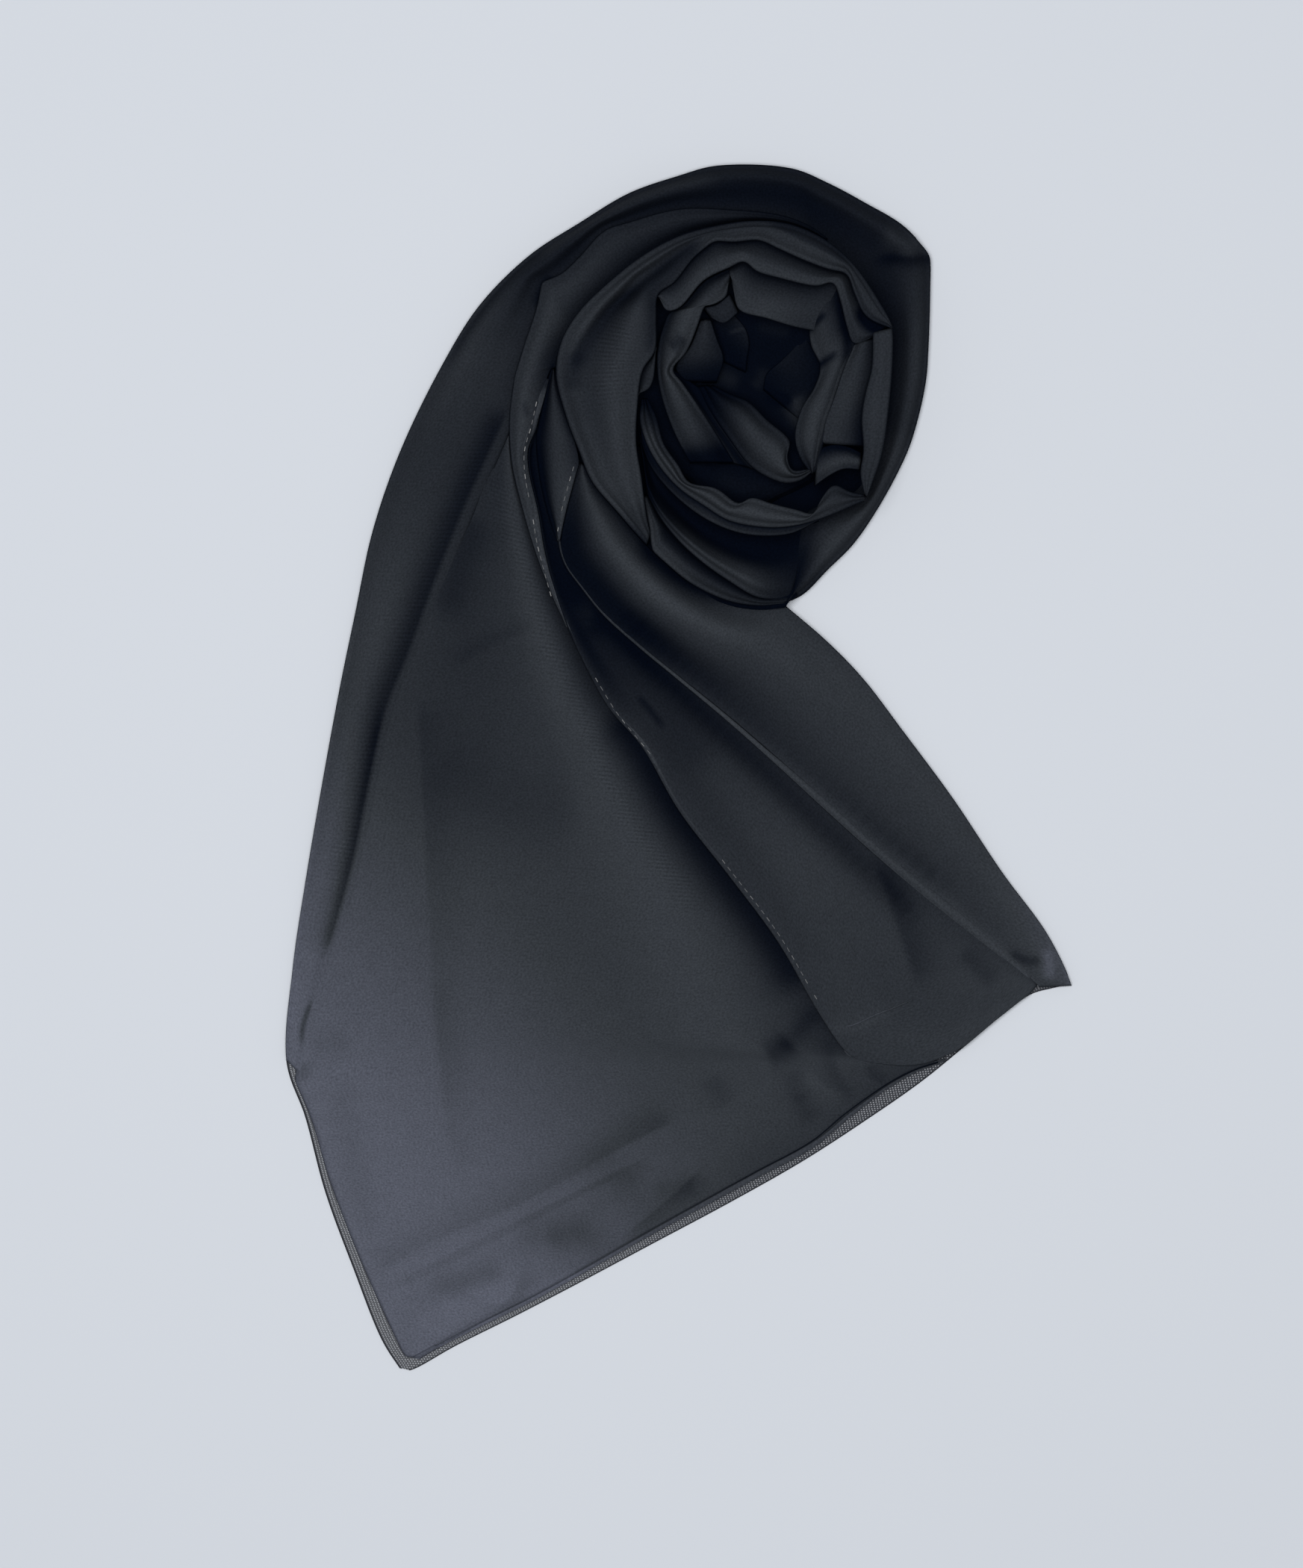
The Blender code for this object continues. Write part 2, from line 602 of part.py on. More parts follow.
stretch(
    "ring_crescent_under",
    ((("crescent_under", (53, 97.6), (-15.2, 130)), ("crescent_outer", (55, 99.2), (-14.8, 136)),),),
    (0, 0.5, 1),
    (
        (0.00, 11.5, 23, 24, 24, 0),
        (0.70, 10.5, 23, 24, 24, 0),
        (1.00, 5, 22, 23, 23, 0),
    ),
)

stretch(
    "ring_crescent",
    ((("crescent_outer", (73.5, 106.6), (-15, 147.5)), ("crescent_inner", (73, 110), (-12.3, 147.5))),),
    (0, 0.25, 0.6, 1),
    (
        (0.00, 14.5, 25, 27, 27, 25, 3),
        (0.14, 15, 26, 30, 30, 26, 6),
        (0.24, 4, 27, 32, 32, 27, 8),
        (0.70, 4, 27, 33, 34, 26, 8),
        (1.00, 3, 24, 26, 26, 24, 3),
    ),
)

# The inner turns
stretch(
    "ring_2",
    (
        (("petal_inner", (-8.1, 189.6), (12.8, 209.8)), ("ring_2_inner", (-7.6, 188), (17, 198.8))),
        (("ring_1_inner", (13.2, 210.9), (67, 197.5)), ("ring_2_inner", (17, 198.8), (62, 193.5))),
        (("ring_1_inner", (67, 197.5), (82, 176.9)), ("ring_2_inner", (62, 193.5), (76.2, 171.8))),
    ),
    (0, 0.3, 0.7, 1),
    (
        (0.00, 2, 26, 27, 27, 26, 2),
        (0.30, 2, 27, 31, 33, 29, 5),
        (0.70, 2, 28, 31, 32, 29, 5),
        (1.00, 2, 27, 28, 28, 26, 2),
    ),
)

stretch(
    "ring_3",
    (
        (("ring_2_inner", (19.5, 199.8), (-4.5, 182.8)), ("ring_3_top", (19.8, 192.8), (10.2, 185))),
        (("ring_3_outer", (-5, 181), (4, 123.4)), ("ring_3_inner", (9.8, 184), (21.6, 123.6))),
    ),
    (0, 0.3, 0.7, 1),
    (
        (0.00, 2, 24, 26, 26, 24, 3),
        (0.30, 3, 23, 27, 28, 24, 6),
        (0.60, 5, 23, 27, 27, 20, 4),
        (1.00, 6, 21, 23, 22, 19, 3),
    ),
)

stretch(
    "top_petal",
    ((("ring_2_inner", (23, 201.2), (61.5, 194)), ("top_petal_edge", (21.8, 191.2), (51.6, 175.6))),),
    (0, 0.3, 0.7, 1),
    (
        (0.00, 2, 23, 25, 25, 22, 3),
        (0.50, 2, 23, 27, 28, 24, 6),
        (1.00, 2, 23, 25, 25, 23, 3),
    ),
)

stretch(
    "right_inner_limb",
    (
        (("ring_2_inner", (62.5, 192.5), (69.6, 170)), ("inner_limb_edge", (52.2, 174.4), (56, 162))),
        (("double_hem", (69.7, 168.6), (54.1, 119.6)), ("inner_limb_edge", (56.5, 160.5), (52.2, 119))),
    ),
    (0, 0.3, 0.7, 1),
    (
        (0.00, 2, 23, 25, 25, 21, 4),
        (0.40, 2, 25, 28, 27, 22, 5),
        (0.80, 2, 25, 28, 27, 22, 5),
        (1.00, 2, 24, 25, 25, 23, 4),
    ),
)

stretch(
    "right_outer_limb",
    ((("ring_1_limb", (77.2, 170.4), (73.6, 130)), ("double_hem", (69.8, 168.4), (56.8, 131.4))),),
    (0, 0.3, 0.7, 1),
    (
        (0.00, 2, 26, 28, 28, 25, 2),
        (0.50, 2, 26, 29, 28, 25, 2),
        (1.00, 2, 24, 26, 25, 24, 2),
    ),
)

stretch(
    "pocket_flap",
    ((("pocket_upper", (56.6, 128.3), (72.3, 126.6)), ("pocket_lower", (55.5, 113.8), (71.3, 119.5))),),
    (0, 0.3, 0.7, 1),
    (
        (0.00, 3, 23, 24, 24, 22, 3),
        (1.00, 3, 24, 26, 26, 25, 3),
    ),
)

stretch(
    "centre_fold",
    ((("centre_fold_outer", (8.2, 152), (53, 118.4)), ("centre_fold_inner", (15.2, 152.9), (51, 119.6))),),
    (0, 0.3, 0.7, 1),
    (
        (0.00, 4, 16, 18, 18, 16, 4),
        (0.40, 6, 20, 26, 27, 20, 6),
        (0.80, 7, 23, 28, 28, 23, 6),
        (1.00, 5, 23, 25, 25, 23, 4),
    ),
)

stretch(
    "centre_wedge",
    ((("wedge_left", (8.4, 178.6), (1.5, 156)), ("wedge_right", (13.1, 178.6), (15.6, 156)),),),
    (0, 0.5, 1),
    (
        (0.00, 3, 20, 21, 20, 3),
        (1.00, 3, 16, 16, 15, 2),
    ),
)

stretch(
    "centre_flap",
    ((("flap_upper", (11.2, 184.7), (19.5, 189)), ("flap_lower", (14.1, 179.7), (23.1, 181.9)),),),
    (0, 0.5, 1),
    (
        (0.00, 3, 22, 22, 21, 3),
        (1.00, 3, 23, 23, 22, 3),
    ),
)


# The hidden layers inside the rosette
def hidden_layers():
    """One rounded solid on the lowest layer, in three steps at its rim, with a hollow in its middle."""
    # Columns: direction from the core's centre in degrees, reach in millimetres.
    reach = (
        (0, 58), (30, 58), (60, 61), (90, 64), (120, 61), (150, 61), (180, 54), (200, 42),
        (215, 35), (240, 35), (260, 41), (280, 44), (300, 43), (330, 48), (360, 58),
    )
    # Columns: share of the reach, height.
    profile = (
        (0.97, BED), (1.0, 3.2), (1.0, 5.0), (0.97, 6.0), (0.97, 8.0), (0.94, 9.0), (0.94, 11.0),
        (0.9, 12.4), (0.8, 14.2), (0.68, 14.4), (0.5, 12.2), (0.33, 9.4), (0.1, 8.6),
    )
    directions = np.arange(0.0, 360.0, CORE_STEP)
    size = blend(reach, directions)[:, 0]
    rings = []
    for share, height in profile:
        x = CORE_CENTRE[0] + share * size * np.cos(np.radians(directions))
        y = CORE_CENTRE[1] + share * size * np.sin(np.radians(directions))
        rings.append(np.stack([x, y, np.full_like(x, height)], axis=1))
    loft("hidden_layers", np.stack(rings), GEORGETTE)


hidden_layers()


# The hems, each on its own panel
def nearest_row(top, column, place):
    return int(np.argmin(np.linalg.norm(top[:, column, :2] - np.array(place), axis=1)))


hem_strip(
    "side_hem_1", middle_top, nearest_row(middle_top, 0, (-44, 55)), nearest_row(middle_top, 0, (66, -112)),
    SIDE_HEM_WIDTH,
)
hem_strip(
    "side_hem_2", right_top, nearest_row(right_top, 0, (-45, 81)), nearest_row(right_top, 0, (140, -83)),
    SIDE_HEM_WIDTH,
)
hem_strip(
    "end_hem", middle_top, nearest_row(middle_top, 0, (74, -117.6)), nearest_row(middle_top, 0, (134, -96)),
    END_HEM_WIDTH,
)
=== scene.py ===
# %% [markdown]
# # A black georgette scarf with one end wound into a rosette
# Georgette is a light crepe: it is sheer, its face is dull and grainy, and it falls in soft folds.
# This lesson loads the plain model of the scarf, and puts a thin sheet of cloth in the place of each
# of its walls. Every sheet is worked out from the same named edges as the model, so both agree.
# Tables are in millimetres, +X right, +Y up the photograph, +Z towards the camera.

import bpy
import numpy as np
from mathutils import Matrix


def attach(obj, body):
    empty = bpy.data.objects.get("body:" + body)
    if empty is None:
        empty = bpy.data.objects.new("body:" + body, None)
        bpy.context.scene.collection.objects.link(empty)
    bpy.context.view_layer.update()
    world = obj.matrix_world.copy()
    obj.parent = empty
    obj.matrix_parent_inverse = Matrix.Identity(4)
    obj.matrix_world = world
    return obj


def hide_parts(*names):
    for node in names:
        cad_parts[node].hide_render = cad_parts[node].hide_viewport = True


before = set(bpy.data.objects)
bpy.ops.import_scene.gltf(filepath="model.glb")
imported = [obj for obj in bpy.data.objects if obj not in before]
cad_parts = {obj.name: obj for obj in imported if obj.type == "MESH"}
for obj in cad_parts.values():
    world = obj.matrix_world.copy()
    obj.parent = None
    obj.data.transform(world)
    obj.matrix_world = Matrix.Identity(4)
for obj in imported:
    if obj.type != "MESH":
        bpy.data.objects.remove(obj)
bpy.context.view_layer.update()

# Lengths in millimetres; MM turns them into metres. Steps are the sizes of the grids' meshes.
MM = 0.001
THREAD = 0.35
TUCK = 7.0
FLOOR_GAP = 0.5
ROSETTE_STEP = 1.0
TURN_STEP = 1.4
TAIL_STEP = 1.7
STROKE_FADE = 14.0
# Painted shade: how much darker a side grows where it runs below its neighbour, and where it
# turns at a fold.
TUCK_SHADE = 0.5
RIM_SHADE = 0.55

# %% [markdown]
# ## The edges
# A cloth laid flat is read from above by its folds and hems. Each one gets a name and a few points,
# and a smooth curve runs through them. Two stretches that meet share an edge, so they can't drift
# apart when one of them is changed, which separate outlines would do.

# %% Name the folds and hems
# Columns: x, y.
EDGES = {
    "outline_left": (
        (-111, -242.5), (-119, -230), (-131, -200), (-142, -170), (-150, -140), (-157.5, -118),
        (-155, -80), (-150, -46), (-143, -5), (-136, 33), (-130, 62), (-123, 95), (-112, 127),
        (-95, 162), (-80, 186), (-60, 206), (-40, 219), (-20, 231), (0, 238), (15, 242), (45, 241),
        (60, 235), (75, 227), (90, 218), (101.2, 206),
    ),
    "outline_right": (
        (101.2, 206), (100.3, 170), (99, 154), (93.6, 132), (89, 121), (80, 104.5), (70, 90), (60, 80),
        (50, 70), (42, 66.2),
    ),
    "tail_right": (
        (42, 66), (60, 50.5), (74, 36), (90, 15), (110, -12), (130, -42), (147, -65), (155, -80),
        (157.5, -86.5),
    ),
    "hem_outline": (
        (157.5, -86.5), (150, -88), (142, -90.3), (130, -99), (114, -112.3), (97, -126), (75, -141.3),
        (50, -157.5), (20, -174.5), (-10, -190.5), (-40, -206.5), (-65, -219.5), (-90, -232),
        (-106, -241), (-111, -242.5),
    ),
    "upper_hem": (
        (105, -117.3), (95, -120.5), (85, -125.5), (67, -138), (53, -149.5), (30, -162), (10, -173),
        (-10, -184), (-40, -201), (-60, -212), (-80, -222), (-100, -233), (-108, -237),
    ),
    "panel_rim": ((-154, -124), (-147, -140), (-139.5, -165), (-128, -195), (-117, -220), (-110, -235)),
    "flap_line": (
        (-153, -122), (-149, -100), (-145, -85), (-137, -58), (-131, -35), (-125, -5), (-118, 25),
        (-110, 45), (-99, 75), (-87, 105), (-78, 125), (-71, 142), (-66, 157), (-62, 170), (-57, 185),
        (-55, 195),
    ),
    "lapel_left": (
        (-44, 55), (-47.5, 62), (-52.5, 73), (-58, 88), (-63, 105), (-67, 122), (-68, 140), (-66, 157),
    ),
    "lapel_top": (
        (-55, 195), (-47, 198.5), (-40, 205), (-30, 215.5), (-20, 219), (0, 224.2), (20, 224),
        (40, 222), (52, 217.8), (61, 211.6),
    ),
    "hem_1": (
        (-51, 161), (-53, 156), (-57, 137), (-60.5, 128), (-60.3, 120), (-56.5, 103), (-54, 88),
        (-50, 72), (-44, 55), (-38, 42), (-28, 24), (-15, 9), (0, -17), (20, -43), (40, -70), (56, -98),
        (67, -114), (72, -117.5),
    ),
    "left_reach": ((66, -112), (72, -114.5), (80, -115.6), (90, -116.4), (100, -117), (104.5, -117.6)),
    "middle_bottom": ((72, -117.5), (83, -119), (92, -119.5), (100, -118.3), (108, -115.2)),
    "hem_2": (
        (-48, 90), (-45, 81), (-39, 73), (-30, 62), (-15, 49), (0, 37), (20, 21), (50, -5), (80, -32),
        (110, -56), (130, -74), (144, -87),
    ),
    "right_lapel_left": ((-57.5, 137), (-57.3, 128), (-55.5, 114), (-52, 100), (-48.7, 90.5)),
    "right_lapel_right": ((-39.5, 124), (-42, 115), (-45, 104), (-47, 95), (-47.8, 90.5)),
    "petal_outer": (
        (42, 66), (32, 65.2), (20, 67), (5, 74), (-5, 82), (-15, 91.5), (-25, 103), (-35, 115),
        (-40, 127), (-45, 140), (-49.3, 158), (-47, 171.5), (-40, 183), (-30, 193), (-15, 205),
        (0, 213), (15, 217), (30, 219), (45, 217.5), (60, 210.5), (70, 201.5), (80, 187), (85, 177),
        (85.5, 165), (84, 145), (81, 125), (75, 108),
    ),
    "petal_inner": (
        (-11.3, 93.5), (-13, 102), (-15, 117), (-17, 130), (-16.5, 145), (-14.5, 159), (-9.5, 167),
        (-9, 180), (-8.2, 189.5), (-2, 194), (6, 204), (13, 210),
    ),
    "band_edge": ((44, 68), (35, 67.8), (30, 69), (20, 75), (10, 82), (0, 91), (-8, 101), (-12, 108.5)),
    "cavity_end": ((54.4, 98.5), (49.9, 83.5), (45.3, 68.5)),
    "crescent_under": (
        (54, 98.3), (45, 94), (35, 93), (25, 94), (15, 97.5), (5, 103.5), (-5, 112.5), (-12, 122),
        (-15.8, 133),
    ),
    "crescent_outer": (
        (75, 107.5), (65, 103), (55, 99.2), (45, 96.8), (35, 96.3), (20, 99), (10, 105), (0, 112),
        (-8, 121), (-13, 130), (-15.8, 140), (-15, 148),
    ),
    "crescent_inner": (
        (74, 109.5), (68, 111), (62, 113.5), (57, 108), (54, 102), (47, 103.5), (37, 106), (29, 108.3),
        (24, 106), (15, 112), (4, 114.5), (0, 121), (-6, 130), (-9, 141), (-12.5, 148),
    ),
    "underflap_edge": ((-9.2, 168), (-9.5, 161), (-10.2, 155.5), (-12, 151.8), (-15.6, 150.2)),
    "ring_1_inner": (
        (13, 211), (22, 210.3), (32, 211), (40, 207.5), (50, 203), (60, 199.3), (67, 197.5), (70, 190),
        (74, 181.5), (78, 178.5), (84.5, 176),
    ),
    "ring_1_limb": ((77.5, 173), (77, 160), (74.5, 150), (73, 140), (73.7, 127), (72.5, 118), (74, 110.5)),
    "ring_2_inner": (
        (-7.5, 187.5), (-5, 183), (0, 184), (10, 195), (20, 200), (26, 202.5), (31, 198.7), (40, 196),
        (55, 192.8), (61.5, 194), (64.5, 187), (67, 177), (70, 169.7), (76.5, 171.8),
    ),
    "ring_3_outer": ((-4.5, 182.3), (-8.2, 170), (-8.7, 160), (-7.3, 150), (-3, 137), (1, 128.5), (4, 123)),
    "ring_3_top": ((19.8, 193), (19, 189), (14.5, 185.8), (10, 185)),
    "ring_3_inner": (
        (10, 185), (7.5, 177), (3, 166.5), (-2.5, 159.5), (1, 155), (8, 145), (17, 131), (22, 123),
    ),
    "top_petal_edge": ((21.7, 191.5), (24, 183.5), (35, 180), (46, 176.7), (52, 175.5)),
    "double_hem": ((70, 169.3), (66, 160), (62, 148), (58, 137), (55.5, 126), (54, 119)),
    "inner_limb_edge": (
        (52, 175), (53, 169), (56.5, 160.5), (54, 152), (49, 144), (46.3, 133), (48.5, 124),
        (52.5, 118.5),
    ),
    "pocket_upper": ((56.5, 128.3), (62, 129.6), (68, 128.7), (72.5, 126.5)),
    "pocket_lower": ((55.5, 113.8), (60, 117), (66, 119.8), (71.5, 119.5)),
    "centre_fold_outer": (
        (8, 152.5), (12, 144), (20, 132), (28, 121.5), (35, 116.7), (43, 114), (49, 115.3), (53, 118.4),
    ),
    "centre_fold_inner": (
        (15, 153), (21, 150), (28, 147), (35, 140), (44.5, 131), (43.5, 125), (45.5, 119.5),
        (51, 119.6),
    ),
    "wedge_left": ((8.5, 179), (4.5, 169), (-1.5, 160.3), (2, 155.5)),
    "wedge_right": ((13, 179), (15.3, 172), (18, 164), (15.5, 155.5)),
    "hollow_flap_edge": ((23, 181), (27, 176), (28.3, 170), (27.5, 165), (27, 160)),
    "hollow_wall_edge": ((50, 173.5), (45.5, 168), (40.5, 163), (35, 158), (34, 153)),
    "flap_upper": ((11, 184.7), (15, 185.6), (19.7, 189.2)),
    "flap_lower": ((14, 179.7), (18, 178), (23.3, 182)),
}


def smooth(points, samples=16):
    """The curve through points: cubic pieces whose ends share their slopes."""
    points = np.array(points, float)
    chords = np.linalg.norm(np.diff(points, axis=0), axis=1)
    place = np.concatenate([[0.0], np.cumsum(np.sqrt(chords))])
    slopes = np.gradient(points, place, axis=0)
    span = np.diff(place)[:, None, None]
    t = np.linspace(0.0, 1.0, samples, endpoint=False)[None, :, None]
    pieces = (
        (2 * t**3 - 3 * t**2 + 1) * points[:-1, None]
        + (t**3 - 2 * t**2 + t) * span * slopes[:-1, None]
        + (3 * t**2 - 2 * t**3) * points[1:, None]
        + (t**3 - t**2) * span * slopes[1:, None]
    )
    return np.vstack([pieces.reshape(-1, 2), points[-1:]])


def along(line, count):
    """The line's points at equal steps of its length, count of them and the last."""
    place = np.concatenate([[0.0], np.cumsum(np.linalg.norm(np.diff(line, axis=0), axis=1))])
    wanted = np.linspace(0.0, place[-1], count + 1)
    return np.stack([np.interp(wanted, place, line[:, k]) for k in (0, 1)], axis=1)


def run(name, start, end):
    """The part of an edge from its point nearest start to its point nearest end."""
    line = smooth(EDGES[name])
    first, last = (int(np.argmin(np.linalg.norm(line - np.array(p), axis=1))) for p in (start, end))
    return line[first : last + 1] if first < last else line[last : first + 1][::-1]


print(len(EDGES), "edges")

# %% [markdown]
# ## Sections
# A stretch of cloth runs between two edges. Its height is given in a table, a row for each section
# and a column for each place across it, and is eased between them. That is how a fold is drawn by
# hand: a few sections, then a smooth cloth over them. A simulation would find folds of its own.

# %% Work out a stretch from its edges and sections
def ease(t):
    """A step from 0 to 1 that starts and ends level."""
    t = np.clip(t, 0.0, 1.0)
    return t * t * (3 - 2 * t)


def blend(rows, places):
    """The table's columns at the given places along the stretch, eased between its rows."""
    table = np.array(rows, float)
    row = np.clip(np.searchsorted(table[:, 0], places, side="right") - 1, 0, len(table) - 2)
    t = (places - table[row, 0]) / (table[row + 1, 0] - table[row, 0])
    share = (0.5 * ease(t) + 0.5 * np.clip(t, 0.0, 1.0))[:, None]
    return table[row, 1:] * (1 - share) + table[row + 1, 1:] * share


def cubic(knots, values, wanted):
    """Values between the knots, for every row at once, on cubic pieces that share their slopes."""
    knots = np.array(knots, float)
    slopes = np.gradient(values, knots, axis=1)
    i = np.clip(np.searchsorted(knots, wanted, side="right") - 1, 0, len(knots) - 2)
    span = knots[i + 1] - knots[i]
    t = (wanted - knots[i]) / span
    return (
        (2 * t**3 - 3 * t**2 + 1) * values[:, i]
        + (t**3 - 2 * t**2 + t) * span * slopes[:, i]
        + (3 * t**2 - 2 * t**3) * values[:, i + 1]
        + (t**3 - t**2) * span * slopes[:, i + 1]
    )


def sides(legs, step):
    """Both long sides of a stretch, point for point, and each point's place: leg number and share."""
    outer, inner, places = [], [], []
    for k, (a, b) in enumerate(legs):
        first, second = run(*a), run(*b)
        longest = max(np.linalg.norm(np.diff(line, axis=0), axis=1).sum() for line in (first, second))
        count = max(2, int(round(longest / step)))
        keep = slice(0, None) if k == 0 else slice(1, None)
        outer.append(along(first, count)[keep])
        inner.append(along(second, count)[keep])
        places.append((k + np.linspace(0.0, 1.0, count + 1))[keep])
    return np.vstack(outer), np.vstack(inner), np.concatenate(places)


def soften(line, passes):
    """Each point moved to the middle of its neighbours, passes times; the ends stay."""
    for _ in range(passes):
        line = np.vstack([line[:1], (line[:-2] + 2 * line[1:-1] + line[2:]) / 4, line[-1:]])
    return line


def strokes(points, table):
    """The sum of soft strokes at the points.

    Table: line, width on its left, width on its right, amount. A stroke is full on its line and
    fades as the bell curve of the distance over its width. It fades in and out over a quarter of
    its length, or STROKE_FADE on a long one.
    """
    total = np.zeros(len(points))
    for line, left, right, amount in table:
        path = smooth(line, 10)
        gap = points[:, None, :] - path[None, :, :]
        near = np.argmin((gap**2).sum(axis=2), axis=1)
        slope = np.gradient(path, axis=0)
        slope /= np.linalg.norm(slope, axis=1, keepdims=True)
        away = gap[np.arange(len(points)), near]
        along_path = (away * slope[near]).sum(axis=1)
        side = slope[near, 0] * away[:, 1] - slope[near, 1] * away[:, 0]
        width = np.where(side > 0, left, right)
        share = near / (len(path) - 1)
        length = np.linalg.norm(np.diff(path, axis=0), axis=1).sum()
        ends = min(0.25, STROKE_FADE / length)
        fade = ease(share / ends) * ease((1 - share) / ends)
        total += amount * fade * np.exp(-((side / width) ** 2) - (along_path / max(left, right)) ** 2)
    return total


# %% [markdown]
# ## Rims
# Where a stretch ends in a fold, its cloth goes round a small half circle and back underneath. Where
# its neighbour lies over it, it simply runs on below that neighbour. Both are extra columns of the
# same grid, so one formula makes the whole sheet and no seam has to be closed afterwards.

# %% Turn the rims
# The half circle's columns, and where its lower part starts.
ARC = np.radians((10.0, 30.0, 50.0, 70.0, 90.0, 110.0, 135.0, 160.0, 180.0))
LOWER_ARC = np.radians(100)
# How far the cloth comes back below a fold: millimetres, and at most these shares of the width.
BACK = (2.0, 5.0)
BACK_SHARES = (0.2, 0.4)
# The columns of a side that runs on below its neighbour, and how deep it goes.
TUCK_COLUMNS = 5
TUCK_FALL = (1.6, 0.25)


def fold_columns(depth, radius, width):
    """Distance in from the edge and drop below the rim's top, from the top round to the underside."""
    small = np.minimum(radius, depth / 2)[:, None]
    inwards = small * (1 - np.sin(ARC))[None, :]
    drop = small * (1 - np.cos(ARC))[None, :]
    below = np.maximum(depth[:, None] - 2 * small, 0.0) * (ARC > LOWER_ARC)[None, :]
    tail_in = small + np.minimum(np.array(BACK)[None, :], width[:, None] * np.array(BACK_SHARES))
    tail_drop = np.repeat(depth[:, None], 2, axis=1)
    return np.hstack([inwards, tail_in]), np.hstack([drop + below, tail_drop])


def tuck_columns(width, reach):
    """The same for a side that runs on below its neighbour: outwards from the edge, and down."""
    share = np.linspace(0.15, 1.0, TUCK_COLUMNS)[None, :]
    reach = np.minimum(reach, 0.4 + 0.7 * width)[:, None]
    return -reach * share, (TUCK_FALL[0] * share**2 + TUCK_FALL[1]) * np.ones((len(width), 1))


def add_sheet(name, grid, attributes, closed=False):
    """A mesh object from a grid of points, with a UV map in metres along and across the cloth."""
    rows, columns = grid.shape[:2]
    index = np.arange(rows * columns).reshape(rows, columns)
    if closed:
        index = np.vstack([index, index[:1]])
    quads = np.stack([index[:-1, :-1], index[:-1, 1:], index[1:, 1:], index[1:, :-1]], axis=-1)
    quads = quads.reshape(-1, 4)
    points = grid.reshape(-1, 3) * MM
    mesh = bpy.data.meshes.new(name + "_cloth")
    mesh.from_pydata(points, [], quads)
    normals = np.empty(len(quads) * 3, np.float32)
    mesh.polygons.foreach_get("normal", normals)
    if normals[2::3].mean() < 0:
        mesh.flip_normals()
    across = np.cumsum(np.linalg.norm(np.diff(grid, axis=1, prepend=grid[:, :1]), axis=2), axis=1)
    down = np.cumsum(np.linalg.norm(np.diff(grid, axis=0, prepend=grid[:1]), axis=2), axis=0)
    flat = np.stack([across, np.repeat(down.mean(axis=1)[:, None], columns, axis=1)], axis=-1)
    corners = np.empty(len(mesh.loops), np.int32)
    mesh.loops.foreach_get("vertex_index", corners)
    layer = mesh.uv_layers.new(name="cloth")
    layer.data.foreach_set("uv", (flat.reshape(-1, 2)[corners] * MM).ravel())
    for key, values in attributes.items():
        mesh.attributes.new(key, "FLOAT", "POINT").data.foreach_set("value", values.ravel())
    mesh.shade_smooth()
    piece = bpy.data.objects.new(name + "_cloth", mesh)
    bpy.context.scene.collection.objects.link(piece)
    wall = piece.modifiers.new("thread", "SOLIDIFY")
    wall.thickness = THREAD * MM
    wall.offset = -1.0
    area = np.linalg.norm(
        np.cross(grid[1:, :-1] - grid[:-1, :-1], grid[:-1, 1:] - grid[:-1, :-1]), axis=2
    ).sum()
    print(f"{name}: {len(quads)} faces, {across[:, -1].mean():.0f} x {down[-1].mean():.0f} mm, "
          f"{area * 1e-6:.5f} m2")
    return piece


# The rows added at an end: share of the reach, share of the drop.
END_ROWS = ((0.35, 0.06), (0.7, 0.22), (0.92, 0.5), (1.0, 0.8), (1.02, 1.0))


def turn_ends(grid, turns):
    """Rows added at both ends, which bend down like the rim of a fold: reach and drop of each."""
    share, fall = np.array(END_ROWS).T
    ends = []
    for (first, second), (reach, drop) in zip(((grid[0], grid[2]), (grid[-1], grid[-3])), turns):
        away = (first - second)[:, :2]
        away /= np.linalg.norm(away, axis=1, keepdims=True) + 1e-6
        more = np.repeat(first[None], len(share), axis=0)
        more[:, :, :2] += away[None] * (share * reach)[:, None, None]
        more[:, :, 2] -= (fall * drop)[:, None]
        ends.append(more)
    return np.concatenate([ends[0][::-1], grid, ends[1]])


# Where the tail grows sheer and is painted lighter, as the floor's light seen through it: the change
# for each millimetre in x and in y, and the place and the amount where it starts.
SHEER_SLOPE = (0.0062, 0.0053)
SHEER_START = (-60, -50)
SHEER_AT_START = 0.04


def fewer_layers(points):
    """Painted floor light, lighter where fewer layers lie below the tail: a slope to the lower left."""
    x, y = points[:, 0] - SHEER_START[0], points[:, 1] - SHEER_START[1]
    slope = SHEER_AT_START - SHEER_SLOPE[0] * x - SHEER_SLOPE[1] * y
    return 0.85 * ease(slope / 1.15) + 0.12 * np.clip(slope, 0.0, 0.6)


print("a folded rim has", ARC.size + len(BACK), "columns")

# %% [markdown]
# ## A stretch of cloth
# Real georgette keeps one thickness and only bends. So each stretch is one grid with its rims on it,
# and Solidify gives it a thread's thickness. The shading of the photograph's own folds is painted: a
# second table of painted light and shade lies beside the heights, and soft strokes then add single
# creases, painted shadows and highlights, and ribs.

# %% Lay one stretch of cloth
# Reach and drop of a turned end, and the least gap between a stretch and its own turned-back part.
END_TURN = (1.3, 4.0)
LAYER_GAP = 0.8
# The angle where the painted shade of a rim starts, and the angle that it takes to grow.
RIM_START = 0.6
RIM_SPAN = 0.97
SHEETS = {}


